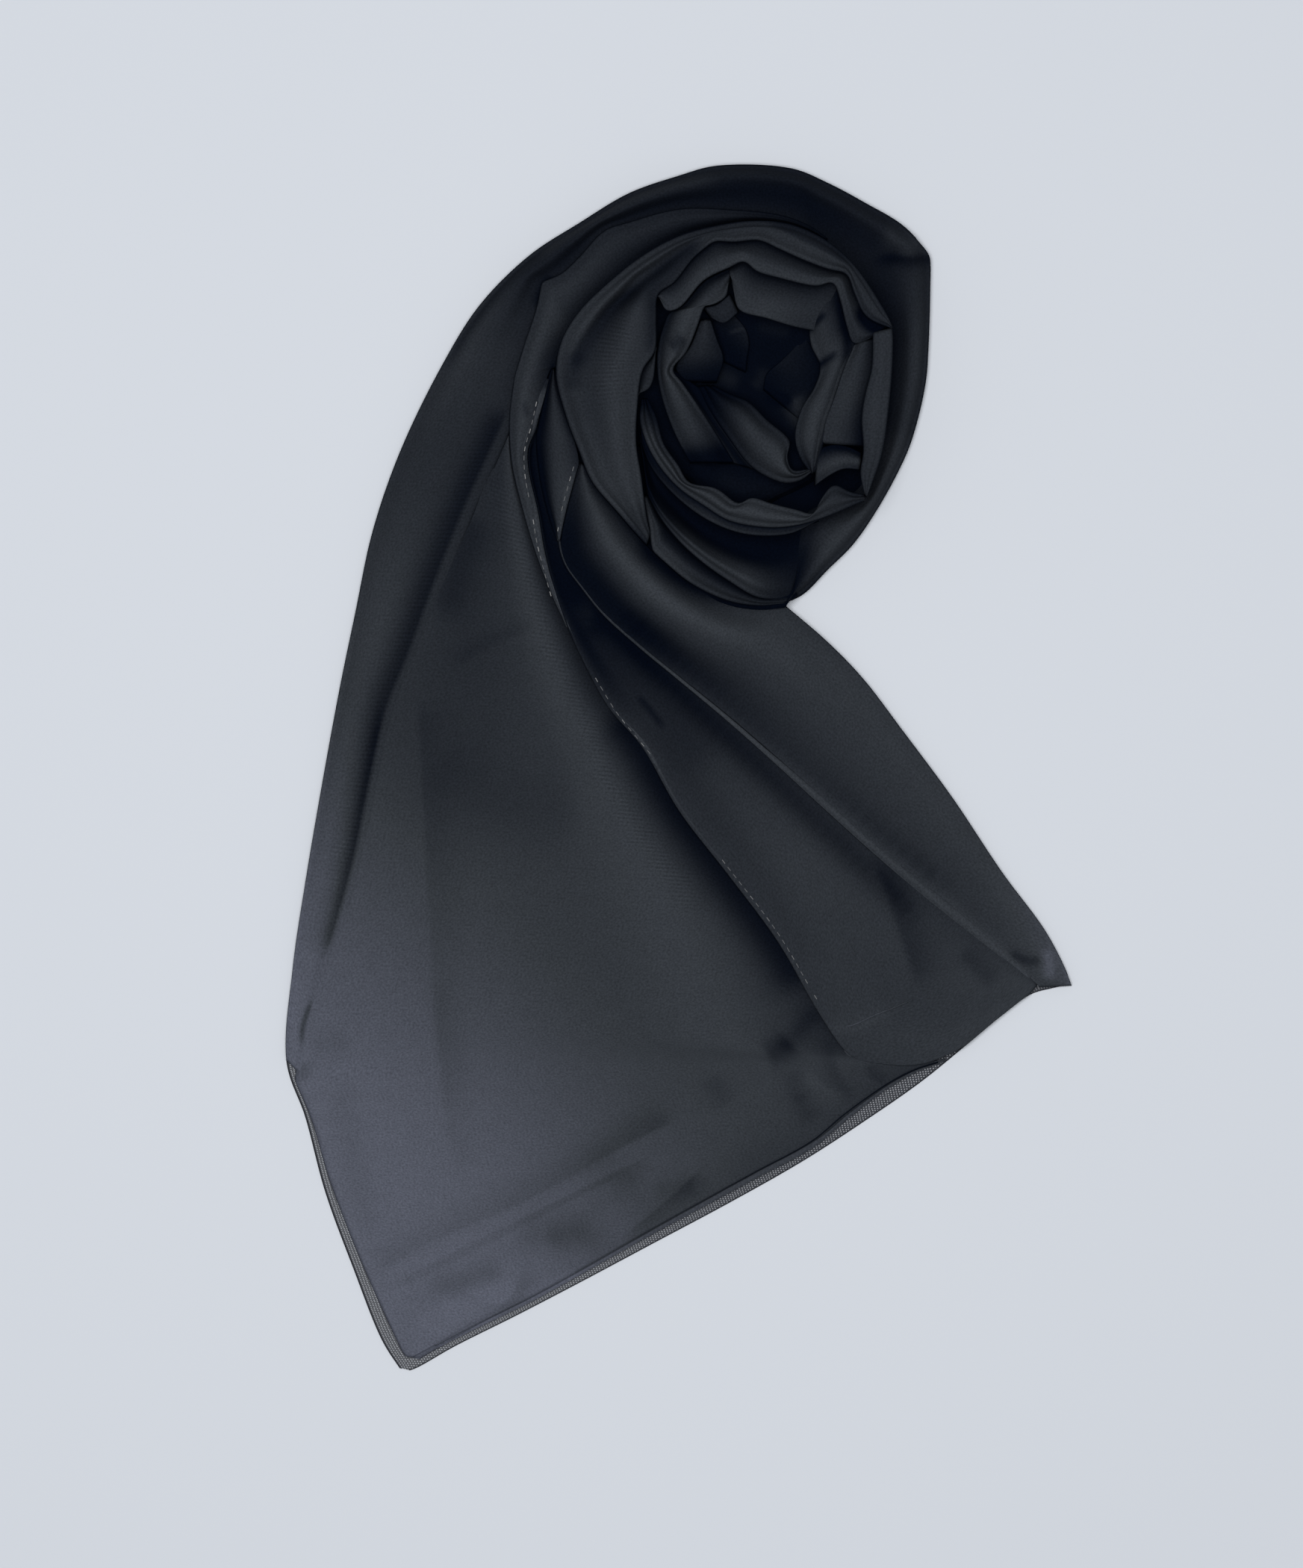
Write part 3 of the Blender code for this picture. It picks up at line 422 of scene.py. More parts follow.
def cloth_stretch(name, legs, across, rows, painted_shading_rows, outer=("tuck", TUCK), inner=("tuck", TUCK),
                  creases=(), shading_strokes=(), ribs=(), step=ROSETTE_STEP, settle=2, nodes=None,
                  ends=(END_TURN, END_TURN), sheer=False):
    """A thin sheet between two edges.

    Legs: the outer and the inner edge of each, as name, start and end. Across: places between them,
    0 to 1. Rows: place along, depth of the outer turn, heights across, depth of the inner turn.
    The second table: place along, painted light and shade across: -1 is the painted shade of the
    deepest pocket, 0 open cloth and 1 the most painted floor light, where the floor shows through it.
    A side is ("fold", radius), ("hem", radius) or ("tuck", reach), and only a fold gets painted shade
    at its rim. Creases, strokes of painted shadow and highlight, and ribs are stroke tables that add
    to the height, to the painted shading and to the ribs. A sheer sheet is painted lighter towards
    the tail's lower left, with the floor's light seen through it.
    """
    left, right, places = sides(legs, step)
    left, right = soften(left, settle), soften(right, settle)
    values = blend(rows, places)
    width = np.linalg.norm(right - left, axis=1)
    unit = (right - left) / np.maximum(width, 1e-6)[:, None]
    count = max(6, int(round(np.percentile(width, 80) / step)))
    spread = np.linspace(0.0, 1.0, count + 1)
    insets = []
    for (kind, size), depth in ((outer, values[:, 0]), (inner, values[:, -1])):
        small = np.minimum(np.minimum(size, width * 0.3), np.maximum(depth, 1.0) / 2)
        insets.append(np.zeros(len(width)) if kind == "tuck" else small)
    distance = insets[0][:, None] + (width - insets[0] - insets[1])[:, None] * spread
    height = cubic(across, values[:, 1:-1], spread)
    # Painted light and shade across the stretch, eased between the rows of its second table.
    painted_shading = cubic(across, blend(painted_shading_rows, places), spread)
    parts, levels, shades = [distance], [height], [painted_shading]
    for k, ((kind, size), depth) in enumerate(((outer, values[:, 0]), (inner, values[:, -1]))):
        if kind == "tuck":
            away, fall = tuck_columns(width, size)
        else:
            away, fall = fold_columns(np.maximum(depth, 1.0), insets[k], width)
        rim, shade = height[:, [-k]], painted_shading[:, [-k]]
        away = width[:, None] - away if k else away[:, ::-1]
        level = rim - (fall if k else fall[:, ::-1])
        if kind != "tuck":
            inside = (away - insets[0][:, None]) / (width - insets[0] - insets[1])[:, None]
            column = np.rint(np.clip(inside, 0, 1) * count).astype(int)
            above = np.take_along_axis(height, column, axis=1)
            under = np.arange(away.shape[1]) >= len(ARC) if k else np.arange(away.shape[1]) < 2
            level = np.where(under[None, :], np.minimum(level, above - LAYER_GAP), level)
        # Painted shade: darker where a side runs below its neighbour, and round the rim of a fold.
        if kind == "tuck":
            darker = TUCK_SHADE * (not sheer) * np.linspace(0, 1, TUCK_COLUMNS)[None, :]
        else:
            round_rim = ease((np.append(ARC, (np.pi, np.pi)) - RIM_START) / RIM_SPAN)[None, :]
            darker = RIM_SHADE * (kind == "fold") * round_rim
        shade = shade - (darker if k else darker[:, ::-1])
        at = len(parts) if k else 0
        parts.insert(at, away)
        levels.insert(at, level)
        shades.insert(at, shade * np.ones(away.shape))
    place_across, level, painted_shading = np.hstack(parts), np.hstack(levels), np.hstack(shades)
    flat = left[:, None, :] + unit[:, None, :] * place_across[:, :, None]
    points = flat.reshape(-1, 2)
    level = np.maximum(level + strokes(points, creases).reshape(level.shape), FLOOR_GAP)
    # Strokes of painted shadow and highlight, and on a sheer sheet painted floor light.
    painted_shading = painted_shading + strokes(points, shading_strokes).reshape(level.shape)
    if sheer:
        painted_shading = painted_shading + fewer_layers(points).reshape(level.shape)
    rib = strokes(points, ribs).reshape(level.shape)
    grid = turn_ends(np.concatenate([flat, level[:, :, None]], axis=2), ends)
    grid[:, :, 2] = np.maximum(grid[:, :, 2], FLOOR_GAP)
    extra = (len(grid) - len(level)) // 2
    pad = ((extra, extra), (0, 0))
    painted_shading, rib = np.pad(painted_shading, pad, "edge"), np.pad(rib, pad, "edge")
    piece = add_sheet(name, grid, {"painted_shading": painted_shading, "ribs": rib})
    SHEETS[name] = (piece, (name,) if nodes is None else nodes)
    return grid.reshape(-1, 3), painted_shading.ravel()


print("an end reaches", END_TURN[0], "mm out and drops", END_TURN[1], "mm")

# %% [markdown]
# ## The tail
# The tail is three panels that fan out below the rosette, each lying over the one to its left.
# Long soft ridges run down them, and a deep trough follows each hem. A simulated drape would put
# its ridges elsewhere, so the main ones are drawn as strokes. The left panel is the broadest.

# %% Lay the left panel
LIGHT_RIDGE = ((-78, 125), (-65, 90), (-52, 50), (-35, 15), (-28, -5), (-18, -22), (-5, -40), (10, -60))
LEFT_PANEL = cloth_stretch("left_panel", (
    (("flap_line", (-67.5, 152), (-103, 65)), ("lapel_left", (-67.6, 148), (-45, 57))),
    (("flap_line", (-103, 65), (-149.5, -103)), ("hem_1", (-44.5, 56), (66, -112))),
    (("flap_line", (-149.5, -103), (-153, -122)), ("left_reach", (66.5, -112.3), (104, -117.5))),
    (("panel_rim", (-154, -124), (-110, -235)), ("upper_hem", (104, -117.5), (-106, -236))),
), (0, 0.3, 0.6, 0.82, 0.94, 1), (
    (0, 0, 8.6, 9, 9, 9, 9, 8.6, 0),
    (1.1, 0, 5.4, 7, 7, 8, 7, 4.6, 0),
    (1.66, 0, 3.4, 5, 6, 8, 4.5, 2.8, 0),
    (3, 0, 2.6, 4, 4.5, 4.8, 3.2, 2.2, 0),
    (3.52, 0, 2.4, 3.4, 3.6, 3.4, 3, 2.2, 0),
    (4, 0, 2.4, 3, 3, 3, 2.8, 2.2, 0),
), (
    (0, -0.3, -0.35, -0.35, -0.2, -0.1, -0.2),
    (1.1, -0.2, -0.3, -0.2, -0.05, -0.35, -0.5),
    (1.66, -0.1, -0.05, -0.05, 0, -0.25, -0.45),
    (3, 0, 0, 0, -0.05, -0.15, -0.25),
    (3.2, 0, 0, 0, 0, -0.1, -0.15),
    (4, 0, 0, 0, 0, 0, 0),
), outer=("tuck", 1), inner=("tuck", 3), sheer=True, step=TAIL_STEP, settle=6, creases=(
    (((-15, 5), (-5, -8), (10, -30), (25, -52), (37, -68), (45, -85)), 6, 6, -1.6),
    (LIGHT_RIDGE, 7, 7, 1.6),
    (((34, -116), (41, -113), (48, -110)), 6, 6, -1.2),
    (((-55, -190), (-45, -188), (-32, -184)), 5, 5, -0.7),
    (((-12, -170), (0, -169), (8, -166)), 4, 4, -0.6),
    (((-100, -60), (-95, -95), (-90, -135)), 9, 5, -0.7),
    (((-118, -20), (-112, -80), (-106, -130)), 10, 10, 0.7),
    (((-100, 20), (-90, -10), (-70, -30)), 12, 12, -1),
), shading_strokes=(
    (((-30, 24), (-15, 5), (0, -20), (20, -47), (38, -70), (50, -92)), 6, 9, -0.35),
    (((34, -116), (41, -113), (46, -109)), 6, 6, -0.3),
    (((38, -116), (46, -108), (52, -101), (58, -96)), 4, 4, -0.2),
    (((60, -106), (64, -123), (72, -133)), 0.8, 5, -0.13),
    (((75, -118), (78, -124), (84, -127)), 4, 0.8, -0.15),
    (((50, -119), (57, -127), (70, -133)), 0.8, 5, 0.1),
    (((47, -130), (50, -136), (56, -142)), 4, 4, -0.13),
    (((-55, -190), (-45, -188), (-32, -184)), 6, 6, -0.2),
    (((-12, -170), (0, -169), (8, -166)), 5, 5, -0.15),
    (((45, -120), (47, -128), (46, -135)), 5, 5, -0.12),
    (((12, -122), (16, -130), (20, -136)), 5, 5, -0.12),
    (((-104, 30), (-101, -20), (-98, -80), (-93, -140)), 12, 1.5, -0.12),
    (((-80, 104), (-88, 84), (-95, 55)), 8, 8, -0.18),
    (((-98, 10), (-72, -12), (-36, -18)), 16, 16, -0.1),
    (((-55, 58), (-75, 50), (-92, 40)), 1, 5, -0.08),
    (((-40, -150), (-20, -172), (-5, -182)), 10, 10, -0.12),
    (((-110, -215), (-95, -222), (-80, -226)), 7, 7, -0.1),
    (((-125, -203), (-100, -190), (-60, -172), (-20, -150), (0, -140)), 9, 0.8, -0.22),
    (((-120, -210), (-80, -190), (-50, -175), (-10, -155)), 0.8, 9, -0.2),
    (((-95, -207), (-70, -215), (-60, -197)), 0.8, 6, -0.22),
    (((-30, -195), (0, -170), (10, -160)), 0.8, 7, -0.2),
    (((-108, -228), (-85, -216), (-62, -207)), 6, 5, 0.3),
    (((-66, -214), (-50, -206), (-38, -202)), 2, 2, 0.2),
    (((-70, -186), (-45, -188), (-22, -188)), 10, 9, -0.22),
    (((-104, -209), (-85, -206), (-68, -201)), 5.5, 5.5, -0.3),
    (((-122, -214), (-90, -199), (-50, -178), (-20, -163)), 1, 4, 0.14),
    (((-126, -204), (-100, -192), (-60, -173), (-20, -152)), 1, 1.5, -0.12),
    (((-152, -117), (-151, -121), (-149, -126)), 4, 4, -0.35),
    (((-150, -113), (-140, -111), (-130, -110)), 6, 6, -0.14),
    (((-138, -120), (-133, -145), (-128, -170), (-122, -190)), 6, 6, -0.14),
    (((-98, -80), (-96, -110), (-92, -140), (-88, -165)), 7, 2, -0.1),
), ribs=(
    (LIGHT_RIDGE, 5, 5, 1),
))

# %% [markdown]
# The middle panel lies over the left one, with a rolled hem on that side. At the lower right it ends
# in a free corner, which short legs of its own follow, so that the corner keeps its point.

# %% Lay the middle panel
MIDDLE_PANEL = cloth_stretch("middle_panel", (
    (("hem_1", (-57.3, 136.5), (-54.4, 90)), ("right_lapel_left", (-57, 136.5), (-48.9, 91))),
    (("hem_1", (-54.4, 90), (72, -117.5)), ("hem_2", (-47.8, 89), (112, -58))),
    (("middle_bottom", (72, -117.5), (108, -115.2)), ("hem_2", (112, -58), (128, -72))),
    (("hem_outline", (112, -114), (140, -91.5)), ("hem_2", (129, -73), (143.5, -86.5))),
), (0, 0.15, 0.4, 0.7, 0.9, 1), (
    (0, 1.2, 10, 9, 8, 8, 8, 8, 0),
    (1.08, 1.2, 8, 7, 6.5, 6.5, 6.5, 6.5, 0),
    (1.29, 1.4, 6, 7, 8, 7, 5.2, 4.6, 0),
    (1.72, 1.6, 4.8, 6, 7.5, 7, 4.6, 4, 0),
    (2, 1.5, 4.2, 5, 6, 6, 4.4, 3.8, 0),
    (4, 1.2, 3, 3.4, 3.6, 3.6, 3.4, 3, 0),
), (
    (0, -0.8, -0.9, -0.9, -0.85, -0.8, -0.8),
    (1.08, -0.7, -0.9, -0.95, -0.9, -0.85, -0.8),
    (1.2, -0.45, -0.7, -0.5, -0.5, -0.8, -0.8),
    (1.35, -0.25, -0.35, -0.35, -0.35, -0.6, -0.65),
    (1.72, -0.2, -0.2, -0.1, -0.15, -0.35, -0.5),
    (2, -0.15, -0.1, -0.15, -0.12, -0.2, -0.3),
    (4, 0, 0, -0.05, -0.05, -0.1, -0.2),
), outer=("hem", 0.7), inner=("tuck", 3), step=TAIL_STEP, settle=4, creases=(
    (((-17, 30), (-11, 23), (-5, 15)), 1.5, 1.5, -0.8),
    (((-20, 48), (20, 12), (60, -25), (100, -62)), 4, 5, -1.6),
    (((-20, 20), (10, -18), (35, -55), (52, -85)), 6, 6, -1.4),
    (((-10, 28), (30, -20), (70, -62)), 7, 7, 1.2),
), shading_strokes=(
    (((-36, 62), (-20, 48), (20, 12), (60, -25), (100, -62)), 3, 6, -0.2),
    (((-17, 30), (-11, 23), (-5, 15)), 1, 1.6, -0.25),
    (((-38, 66), (-25, 45), (-5, 25), (15, -5)), 9, 9, -0.15),
    (((77, -33), (83, -46), (88, -60), (93, -76), (99, -92)), 9, 1.5, -0.22),
    (((112, -72), (120, -80), (128, -88)), 5, 3, -0.15),
    (((-46, 66), (-40, 76), (-43, 86)), 5, 5, -0.2),
    (((58, -101.5), (64, -105.2), (70, -105), (78, -101.5), (92, -94.5)), 4, 1.5, 0.07),
))

# %% [markdown]
# The right panel comes out from under the rosette and runs to the right corner. It lies highest of
# the three, and its wide hem shows as a clear double line.

# %% Lay the right panel
RIGHT_PANEL = cloth_stretch("right_panel", (
    (("right_lapel_right", (-40, 121), (-47.7, 91)), ("petal_outer", (-37.8, 120.5), (-22, 99.5))),
    (("hem_2", (-48, 90), (20, 21)), ("petal_outer", (-22, 99.5), (41.5, 66))),
    (("hem_2", (20, 21), (144, -87)), ("tail_right", (42.5, 65.5), (157.3, -86))),
), (0, 0.15, 0.4, 0.7, 0.9, 1), (
    (0, 1.2, 11, 11.5, 12, 12, 12, 12, 1),
    (1.17, 1.5, 10, 9, 13, 15, 11, 9, 0),
    (1.83, 1.6, 7, 6.5, 12, 15, 8, 6, 0),
    (2.25, 1.6, 6, 6.5, 9, 9, 6, 4, 2.4),
    (2.67, 1.4, 5, 6, 7, 6, 4.6, 3.4, 1.8),
    (3, 1.2, 3.2, 3.4, 3.6, 3.4, 3, 2.8, 1.2),
), (
    (0, -0.5, -0.4, -0.25, -0.25, -0.5, -0.6),
    (1, -0.85, -0.85, -0.5, -0.05, -0.4, -0.65),
    (1.4, -0.75, -0.85, -0.35, 0.02, -0.5, -0.75),
    (1.83, -0.35, -0.5, -0.25, 0, -0.15, -0.3),
    (2.25, -0.12, -0.25, -0.2, -0.1, -0.05, -0.1),
    (2.67, -0.1, -0.2, -0.2, -0.1, -0.05, -0.05),
    (3, 0, -0.05, 0, 0.1, 0.2, 0.3),
), outer=("hem", 0.7), inner=("fold", 1), step=TAIL_STEP, settle=4, creases=(
    (((-25, 62), (20, 24), (60, -10), (110, -52)), 5, 5, -1),
), shading_strokes=(
    (((-25, 63), (20, 25), (60, -9), (110, -51)), 5, 4, -0.15),
    (((-18, 92), (-8, 84), (6, 75), (22, 67)), 5, 5, -0.3),
    (((132, -73), (139, -77), (148, -77)), 2, 2, -0.3),
    (((147.5, -71), (149, -79), (149.5, -86)), 2, 3, 0.45),
))

# %% [markdown]
# ## The lapels
# Beside the rosette the edges of two panels are turned back, as the lapels of a coat are. Each is a
# stretch with a soft fold on its outer side and its hem on the other, so the hem gets no painted
# shade at its rim.

# %% Lay the two lapels between the tail and the rosette
RIGHT_LAPEL = cloth_stretch("right_lapel", (
    (("hem_1", (-51.3, 160), (-57, 138)), ("petal_outer", (-49.3, 158), (-41.5, 130))),
    (("right_lapel_left", (-57.5, 136), (-49, 92)), ("right_lapel_right", (-39.6, 124), (-47.7, 92))),
), (0, 0.3, 0.7, 1), (
    (0, 3, 10, 13, 13, 12, 1),
    (1.17, 4, 9.5, 13.4, 14.6, 14.4, 1.2),
    (2, 3, 10, 11.6, 12, 12, 1),
), (
    (0, -0.8, -0.5, -0.5, -0.75),
    (0.9, -0.9, -0.32, -0.3, -0.6),
    (1.4, -0.95, -0.4, -0.15, -0.15),
    (2, -0.8, -0.4, -0.2, -0.2),
), outer=("fold", 1.8), inner=("hem", 0.5), ends=(END_TURN, (0.3, 3.0)))

MIDDLE_LAPEL = cloth_stretch("middle_lapel", (
    (("lapel_left", (-45, 57), (-66, 157)), ("hem_1", (-44.6, 57), (-51, 161))),
    (("flap_line", (-66, 157), (-55, 195)), ("petal_outer", (-49.3, 160), (-42, 180))),
    (("lapel_top", (-55, 195), (58, 213.9)), ("petal_outer", (-42, 180), (57, 212.2))),
), (0, 0.3, 0.7, 1), (
    (0, 1.5, 6.6, 6.8, 6.8, 6.6, 1),
    (0.3, 1.5, 9, 9.6, 9.8, 9.6, 1),
    (0.83, 2.5, 13, 15, 14, 12, 1),
    (1.8, 3, 14, 16, 15, 12, 1),
    (2.57, 3, 15, 16, 15, 12, 1),
    (3, 2, 12.5, 13, 12, 11, 1),
), (
    (0, -0.1, 0, 0, 0),
    (0.4, -0.15, -0.1, -0.1, -0.1),
    (0.83, -0.3, -0.1, -0.15, -0.35),
    (1.1, -0.25, -0.15, -0.5, -0.7),
    (1.8, -0.3, -0.15, -0.25, -0.5),
    (2.57, -0.5, -0.45, -0.6, -0.75),
    (3, -0.75, -0.75, -0.75, -0.8),
), outer=("fold", 1.2), inner=("hem", 0.5), ends=((0.6, 1.0), (2.0, 1.5)), shading_strokes=(
    (((-50, 163), (-52, 157), (-55, 150)), 0.8, 0.8, -0.3),
    (((-62, 148), (-61.4, 144), (-60, 140)), 1.2, 1.2, -0.2),
))

# %% [markdown]
# ## The outer turn
# The strip at the far left, the big loop over the top and its run down the right are one cloth, so
# they are one sheet with seven legs. Its rim is a soft fold on the outline.

# %% Lay the outer turn
cloth_stretch("outer_turn", (
    (("outline_left", (-157, -116), (-111.8, 127.6)), ("flap_line", (-152.5, -120), (-77.1, 127))),
    (("outline_left", (-111.8, 127.6), (-67, 200)), ("flap_line", (-77.1, 127), (-55, 195))),
    (("outline_left", (-67, 200), (52, 238.7)), ("lapel_top", (-55, 195), (52, 217.5))),
    (("outline_left", (52, 238.7), (101.2, 206)), ("petal_outer", (52, 215.2), (78.5, 189.5))),
    (("outline_right", (101.2, 206), (80, 104.5)), ("petal_outer", (78.5, 189.5), (76, 111))),
    (("outline_right", (80, 104.5), (68, 88)), ("crescent_outer", (75, 107.5), (56, 99.7))),
    (("outline_right", (68, 88), (43, 66.5)), ("cavity_end", (54, 98.5), (44.5, 68.8))),
), (0, 0.15, 0.4, 0.75, 1), (
    (0, 1.6, 2.8, 3.2, 3.6, 3.6, 3, 0),
    (0.3, 1.8, 3.3, 5, 6, 6, 4.6, 0),
    (0.7, 2.2, 3.7, 7, 10, 9, 6.6, 0),
    (1, 2.4, 4, 9, 13, 12, 11, 0),
    (1.5, 2.6, 4.2, 10, 14, 12, 10, 0),
    (2.3, 3, 4.6, 11, 15, 10, 10, 0),
    (3, 3, 4.6, 11, 9, 8, 9, 0),
    (3.6, 3, 4.6, 11, 9, 8, 9, 0),
    (4, 3, 4.6, 10, 13, 10, 9, 0),
    (4.4, 3, 4.6, 10, 12, 9, 8, 0),
    (4.8, 3, 4.6, 9, 11, 9, 8, 0),
    (6, 3, 4.6, 11, 13, 11, 10, 0),
    (7, 3, 4.6, 6, 7.5, 7.5, 7.5, 0),
), (
    (0, 0, 0, 0, 0, 0),
    (0.3, 0, 0, 0, -0.05, -0.15),
    (0.7, -0.1, -0.05, -0.05, -0.15, -0.25),
    (1, -0.25, -0.25, -0.3, -0.3, -0.35),
    (1.5, -0.25, -0.15, -0.25, -0.3, -0.4),
    (2.3, -0.45, -0.4, -0.6, -0.72, -0.6),
    (3, -0.55, -0.55, -0.78, -0.75, -0.6),
    (3.6, -0.55, -0.5, -0.68, -0.65, -0.6),
    (4, -0.4, -0.35, -0.45, -0.65, -0.7),
    (4.4, -0.35, -0.2, -0.3, -0.55, -0.7),
    (4.8, -0.4, -0.3, -0.35, -0.55, -0.65),
    (6, -0.45, -0.3, -0.3, -0.45, -0.6),
    (6.5, -0.45, -0.3, -0.4, -0.65, -0.8),
    (7, -0.5, -0.45, -0.6, -0.8, -0.9),
), outer=("fold", 1.5), inner=("tuck", 6), sheer=True, ends=(END_TURN, (0.8, 2.0)), step=TURN_STEP,
    settle=5, nodes=("left_flap", "outer_loop_top", "outer_loop_right"), creases=(
    (((101, 206), (95, 205), (88, 206), (80, 204)), 2.5, 2.5, -2.5),
    (((83, 214), (90, 213), (98, 210)), 4, 4, 1.5),
    (((-45, 208), (-20, 226), (0, 233), (20, 236)), 3, 5, 1.2),
), shading_strokes=(
    (((-151.5, -114), (-151, -104), (-149.5, -99), (-146.5, -91)), 1.2, 1.2, -0.7),
    (((-68, 147), (-78, 125), (-87, 105), (-99, 75), (-110, 45), (-118, 25), (-125, -5), (-131, -35),
      (-137, -58), (-143, -78)), 1, 7, -0.32),
    (((-118, 30), (-125, -5), (-131, -35), (-137, -58), (-143, -78)), 1, 2.5, -0.25),
    (((-131, 62), (-143, 5), (-152, -60), (-157, -112)), 2.5, 2.5, 0.2),
    (((50, 78), (68, 95), (82, 115), (90, 140)), 12, 12, 0.16),
    (((-57, 183), (-54, 192), (-50, 198)), 2.5, 2.5, -0.35),
    (((110, 207), (101, 205.5), (92, 204.5), (86, 205.5), (76, 203.5)), 4, 1.2, -0.3),
    (((80, 215), (90, 212), (98, 208)), 4, 4, 0.15),
    (((-48, 207), (-20, 226), (0, 233.5), (20, 237)), 2, 4, 0.15),
    (((-50, 211), (-66, 198), (-82, 180), (-96, 158)), 2.5, 0.8, -0.25),
), ribs=(
    (((-136, -50), (-124, -5), (-117, 25), (-98, 75), (-80, 118), (-70, 140)), 9, 1.5, 1),
))

# %% [markdown]
# ## The rosette
# The wound end is a spiral of folded bands. Each turn stands a little higher than the one outside
# it and hides that one's inner side.

# %% Lay the broad petal and the right of its ring
PETAL_CREASE = (
    (-43, 156), (-41, 165), (-38, 171), (-27, 185), (-15, 193), (-5, 201), (5, 208), (13, 211),
)
cloth_stretch("petal_turn", (
    (("petal_outer", (-13.6, 90), (-25, 103)), ("petal_inner", (-12, 95.6), (-13.6, 107))),
    (("petal_outer", (-25, 103), (-49.3, 158)), ("petal_inner", (-13.6, 107), (-14.5, 159))),
    (("petal_outer", (-49.3, 158), (-22, 199.6)), ("petal_inner", (-14.5, 159), (-8.2, 189.5))),
    (("petal_outer", (-22, 199.6), (13, 216.6)), ("petal_inner", (-8.2, 189.5), (13, 210))),
    (("petal_outer", (13, 216.6), (84.6, 178)), ("ring_1_inner", (13.5, 210.9), (84, 176.2))),
), (0, 0.14, 0.32, 0.7, 1), (
    (0, 8, 18, 18.5, 19, 19, 18, 2),
    (1.13, 8, 19, 22, 24, 27, 25, 6),
    (1.8, 7, 20, 24, 25, 31, 28, 10),
    (2.5, 9, 22, 26, 22, 31, 28, 6),
    (3.13, 12, 24, 29, 26, 30, 29, 3),
    (4, 18, 30, 33, 33, 32, 31, 3),
    (4.5, 19, 30, 34, 35.5, 35.5, 33, 4),
    (5, 20, 30, 31, 31, 31, 30, 2),
), (
    (0, -0.5, -0.35, -0.3, -0.25, -0.3),
    (1.13, -0.1, -0.1, -0.12, -0.1, -0.1),
    (1.8, -0.25, -0.25, -0.3, -0.12, -0.15),
    (2.5, -0.2, -0.1, -0.3, -0.15, -0.3),
    (3.13, -0.25, -0.2, -0.35, -0.25, -0.35),
    (4, -0.4, -0.35, -0.3, -0.25, -0.2),
    (4.5, -0.4, -0.3, -0.25, -0.2, -0.15),
    (5, -0.35, -0.3, -0.3, -0.35, -0.5),
), outer=("fold", 2), inner=("fold", 1.6), settle=4, nodes=("left_petal", "ring_1_top"), creases=(
    (PETAL_CREASE, 2.5, 2.5, -2.2),
), ribs=(
    (((-30, 140), (-27, 165), (-20, 185)), 9, 9, 1),
), shading_strokes=(
    (PETAL_CREASE, 2, 5, -0.35),
    (((-42, 150), (-42.5, 158), (-41, 168)), 3.5, 3.5, -0.2),
    (((33, 218), (40, 216), (50, 211), (60, 206), (65, 203), (70, 199)), 7, 0.7, -0.2),
    (((-9.6, 192), (-10.2, 182), (-10.4, 172), (-12, 164)), 0.8, 2.5, -0.2),
))

cloth_stretch("ring_1_right", (
    (("petal_outer", (85.3, 175), (75.6, 109.6)), ("ring_1_limb", (77.4, 172.6), (74.2, 111))),
), (0, 0.3, 0.7, 1), (
    (0, 20, 30.5, 31, 31, 30.5, 3),
    (0.5, 19, 30.5, 31.4, 31.6, 31, 4),
    (1, 17, 27, 28, 28, 27.5, 3),
), (
    (0, -0.2, -0.2, -0.2, -0.25),
    (0.5, -0.2, -0.18, -0.2, -0.25),
    (1, -0.25, -0.25, -0.3, -0.3),
), outer=("fold", 2), inner=("fold", 1.6))

# %% [markdown]
# ## The bands at the bottom
# Where the ring closes at the bottom, five bands lie one over the other, and each shows a narrow
# crescent. They share their edges, so that no gap can open between two of them.

# %% Lay the bands at the bottom
cloth_stretch("lower_band", (
    (("petal_outer", (41.5, 65.8), (-11.2, 87.9)), ("band_edge", (43, 67.9), (-4, 96))),
    (("petal_inner", (-11.4, 93.9), (-13.6, 107)), ("band_edge", (-4, 96), (-12, 108.4))),
), (0, 0.3, 0.7, 1), (
    (0, 2, 8, 9, 8.5, 8, 1),
    (0.5, 4, 12, 15, 14.5, 12, 1.5),
    (0.88, 4, 16, 18, 16, 13, 1.5),
    (2, 2, 17, 17, 16, 15, 1),
), (
    (0, -0.5, -0.45, -0.5, -0.65),
    (0.5, -0.25, -0.35, -0.65, -0.85),
    (0.88, -0.1, -0.25, -0.65, -0.85),
    (2, -0.3, -0.4, -0.6, -0.8),
), outer=("fold", 1.5), inner=("tuck", 2.5))

cloth_stretch("band_under_ring", (
    (("band_edge", (43.6, 68.1), (-12, 108.4)), ("crescent_under", (53, 97.5), (-15.6, 132))),
), (0, 0.12, 0.3, 0.6, 1), (
    (0, 2, 7, 8.5, 8.5, 8, 8, 0),
    (0.25, 4, 15, 19, 17, 11.5, 11, 0),
    (0.6, 5, 20, 24, 20, 12, 11.5, 0),
    (0.85, 4, 21, 23, 20, 16, 15.5, 0),
    (1, 3, 21, 22, 21, 19, 18, 0),
), (
    (0, -0.6, -0.6, -0.7, -0.85, -0.9),
    (0.25, -0.2, -0.1, -0.3, -0.95, -1),
    (0.6, -0.15, -0.15, -0.35, -0.9, -1),
    (0.8, -0.4, -0.45, -0.7, -0.9, -0.9),
    (1, -0.9, -0.9, -0.95, -0.95, -0.95),
), outer=("fold", 1.8), inner=("tuck", 6))

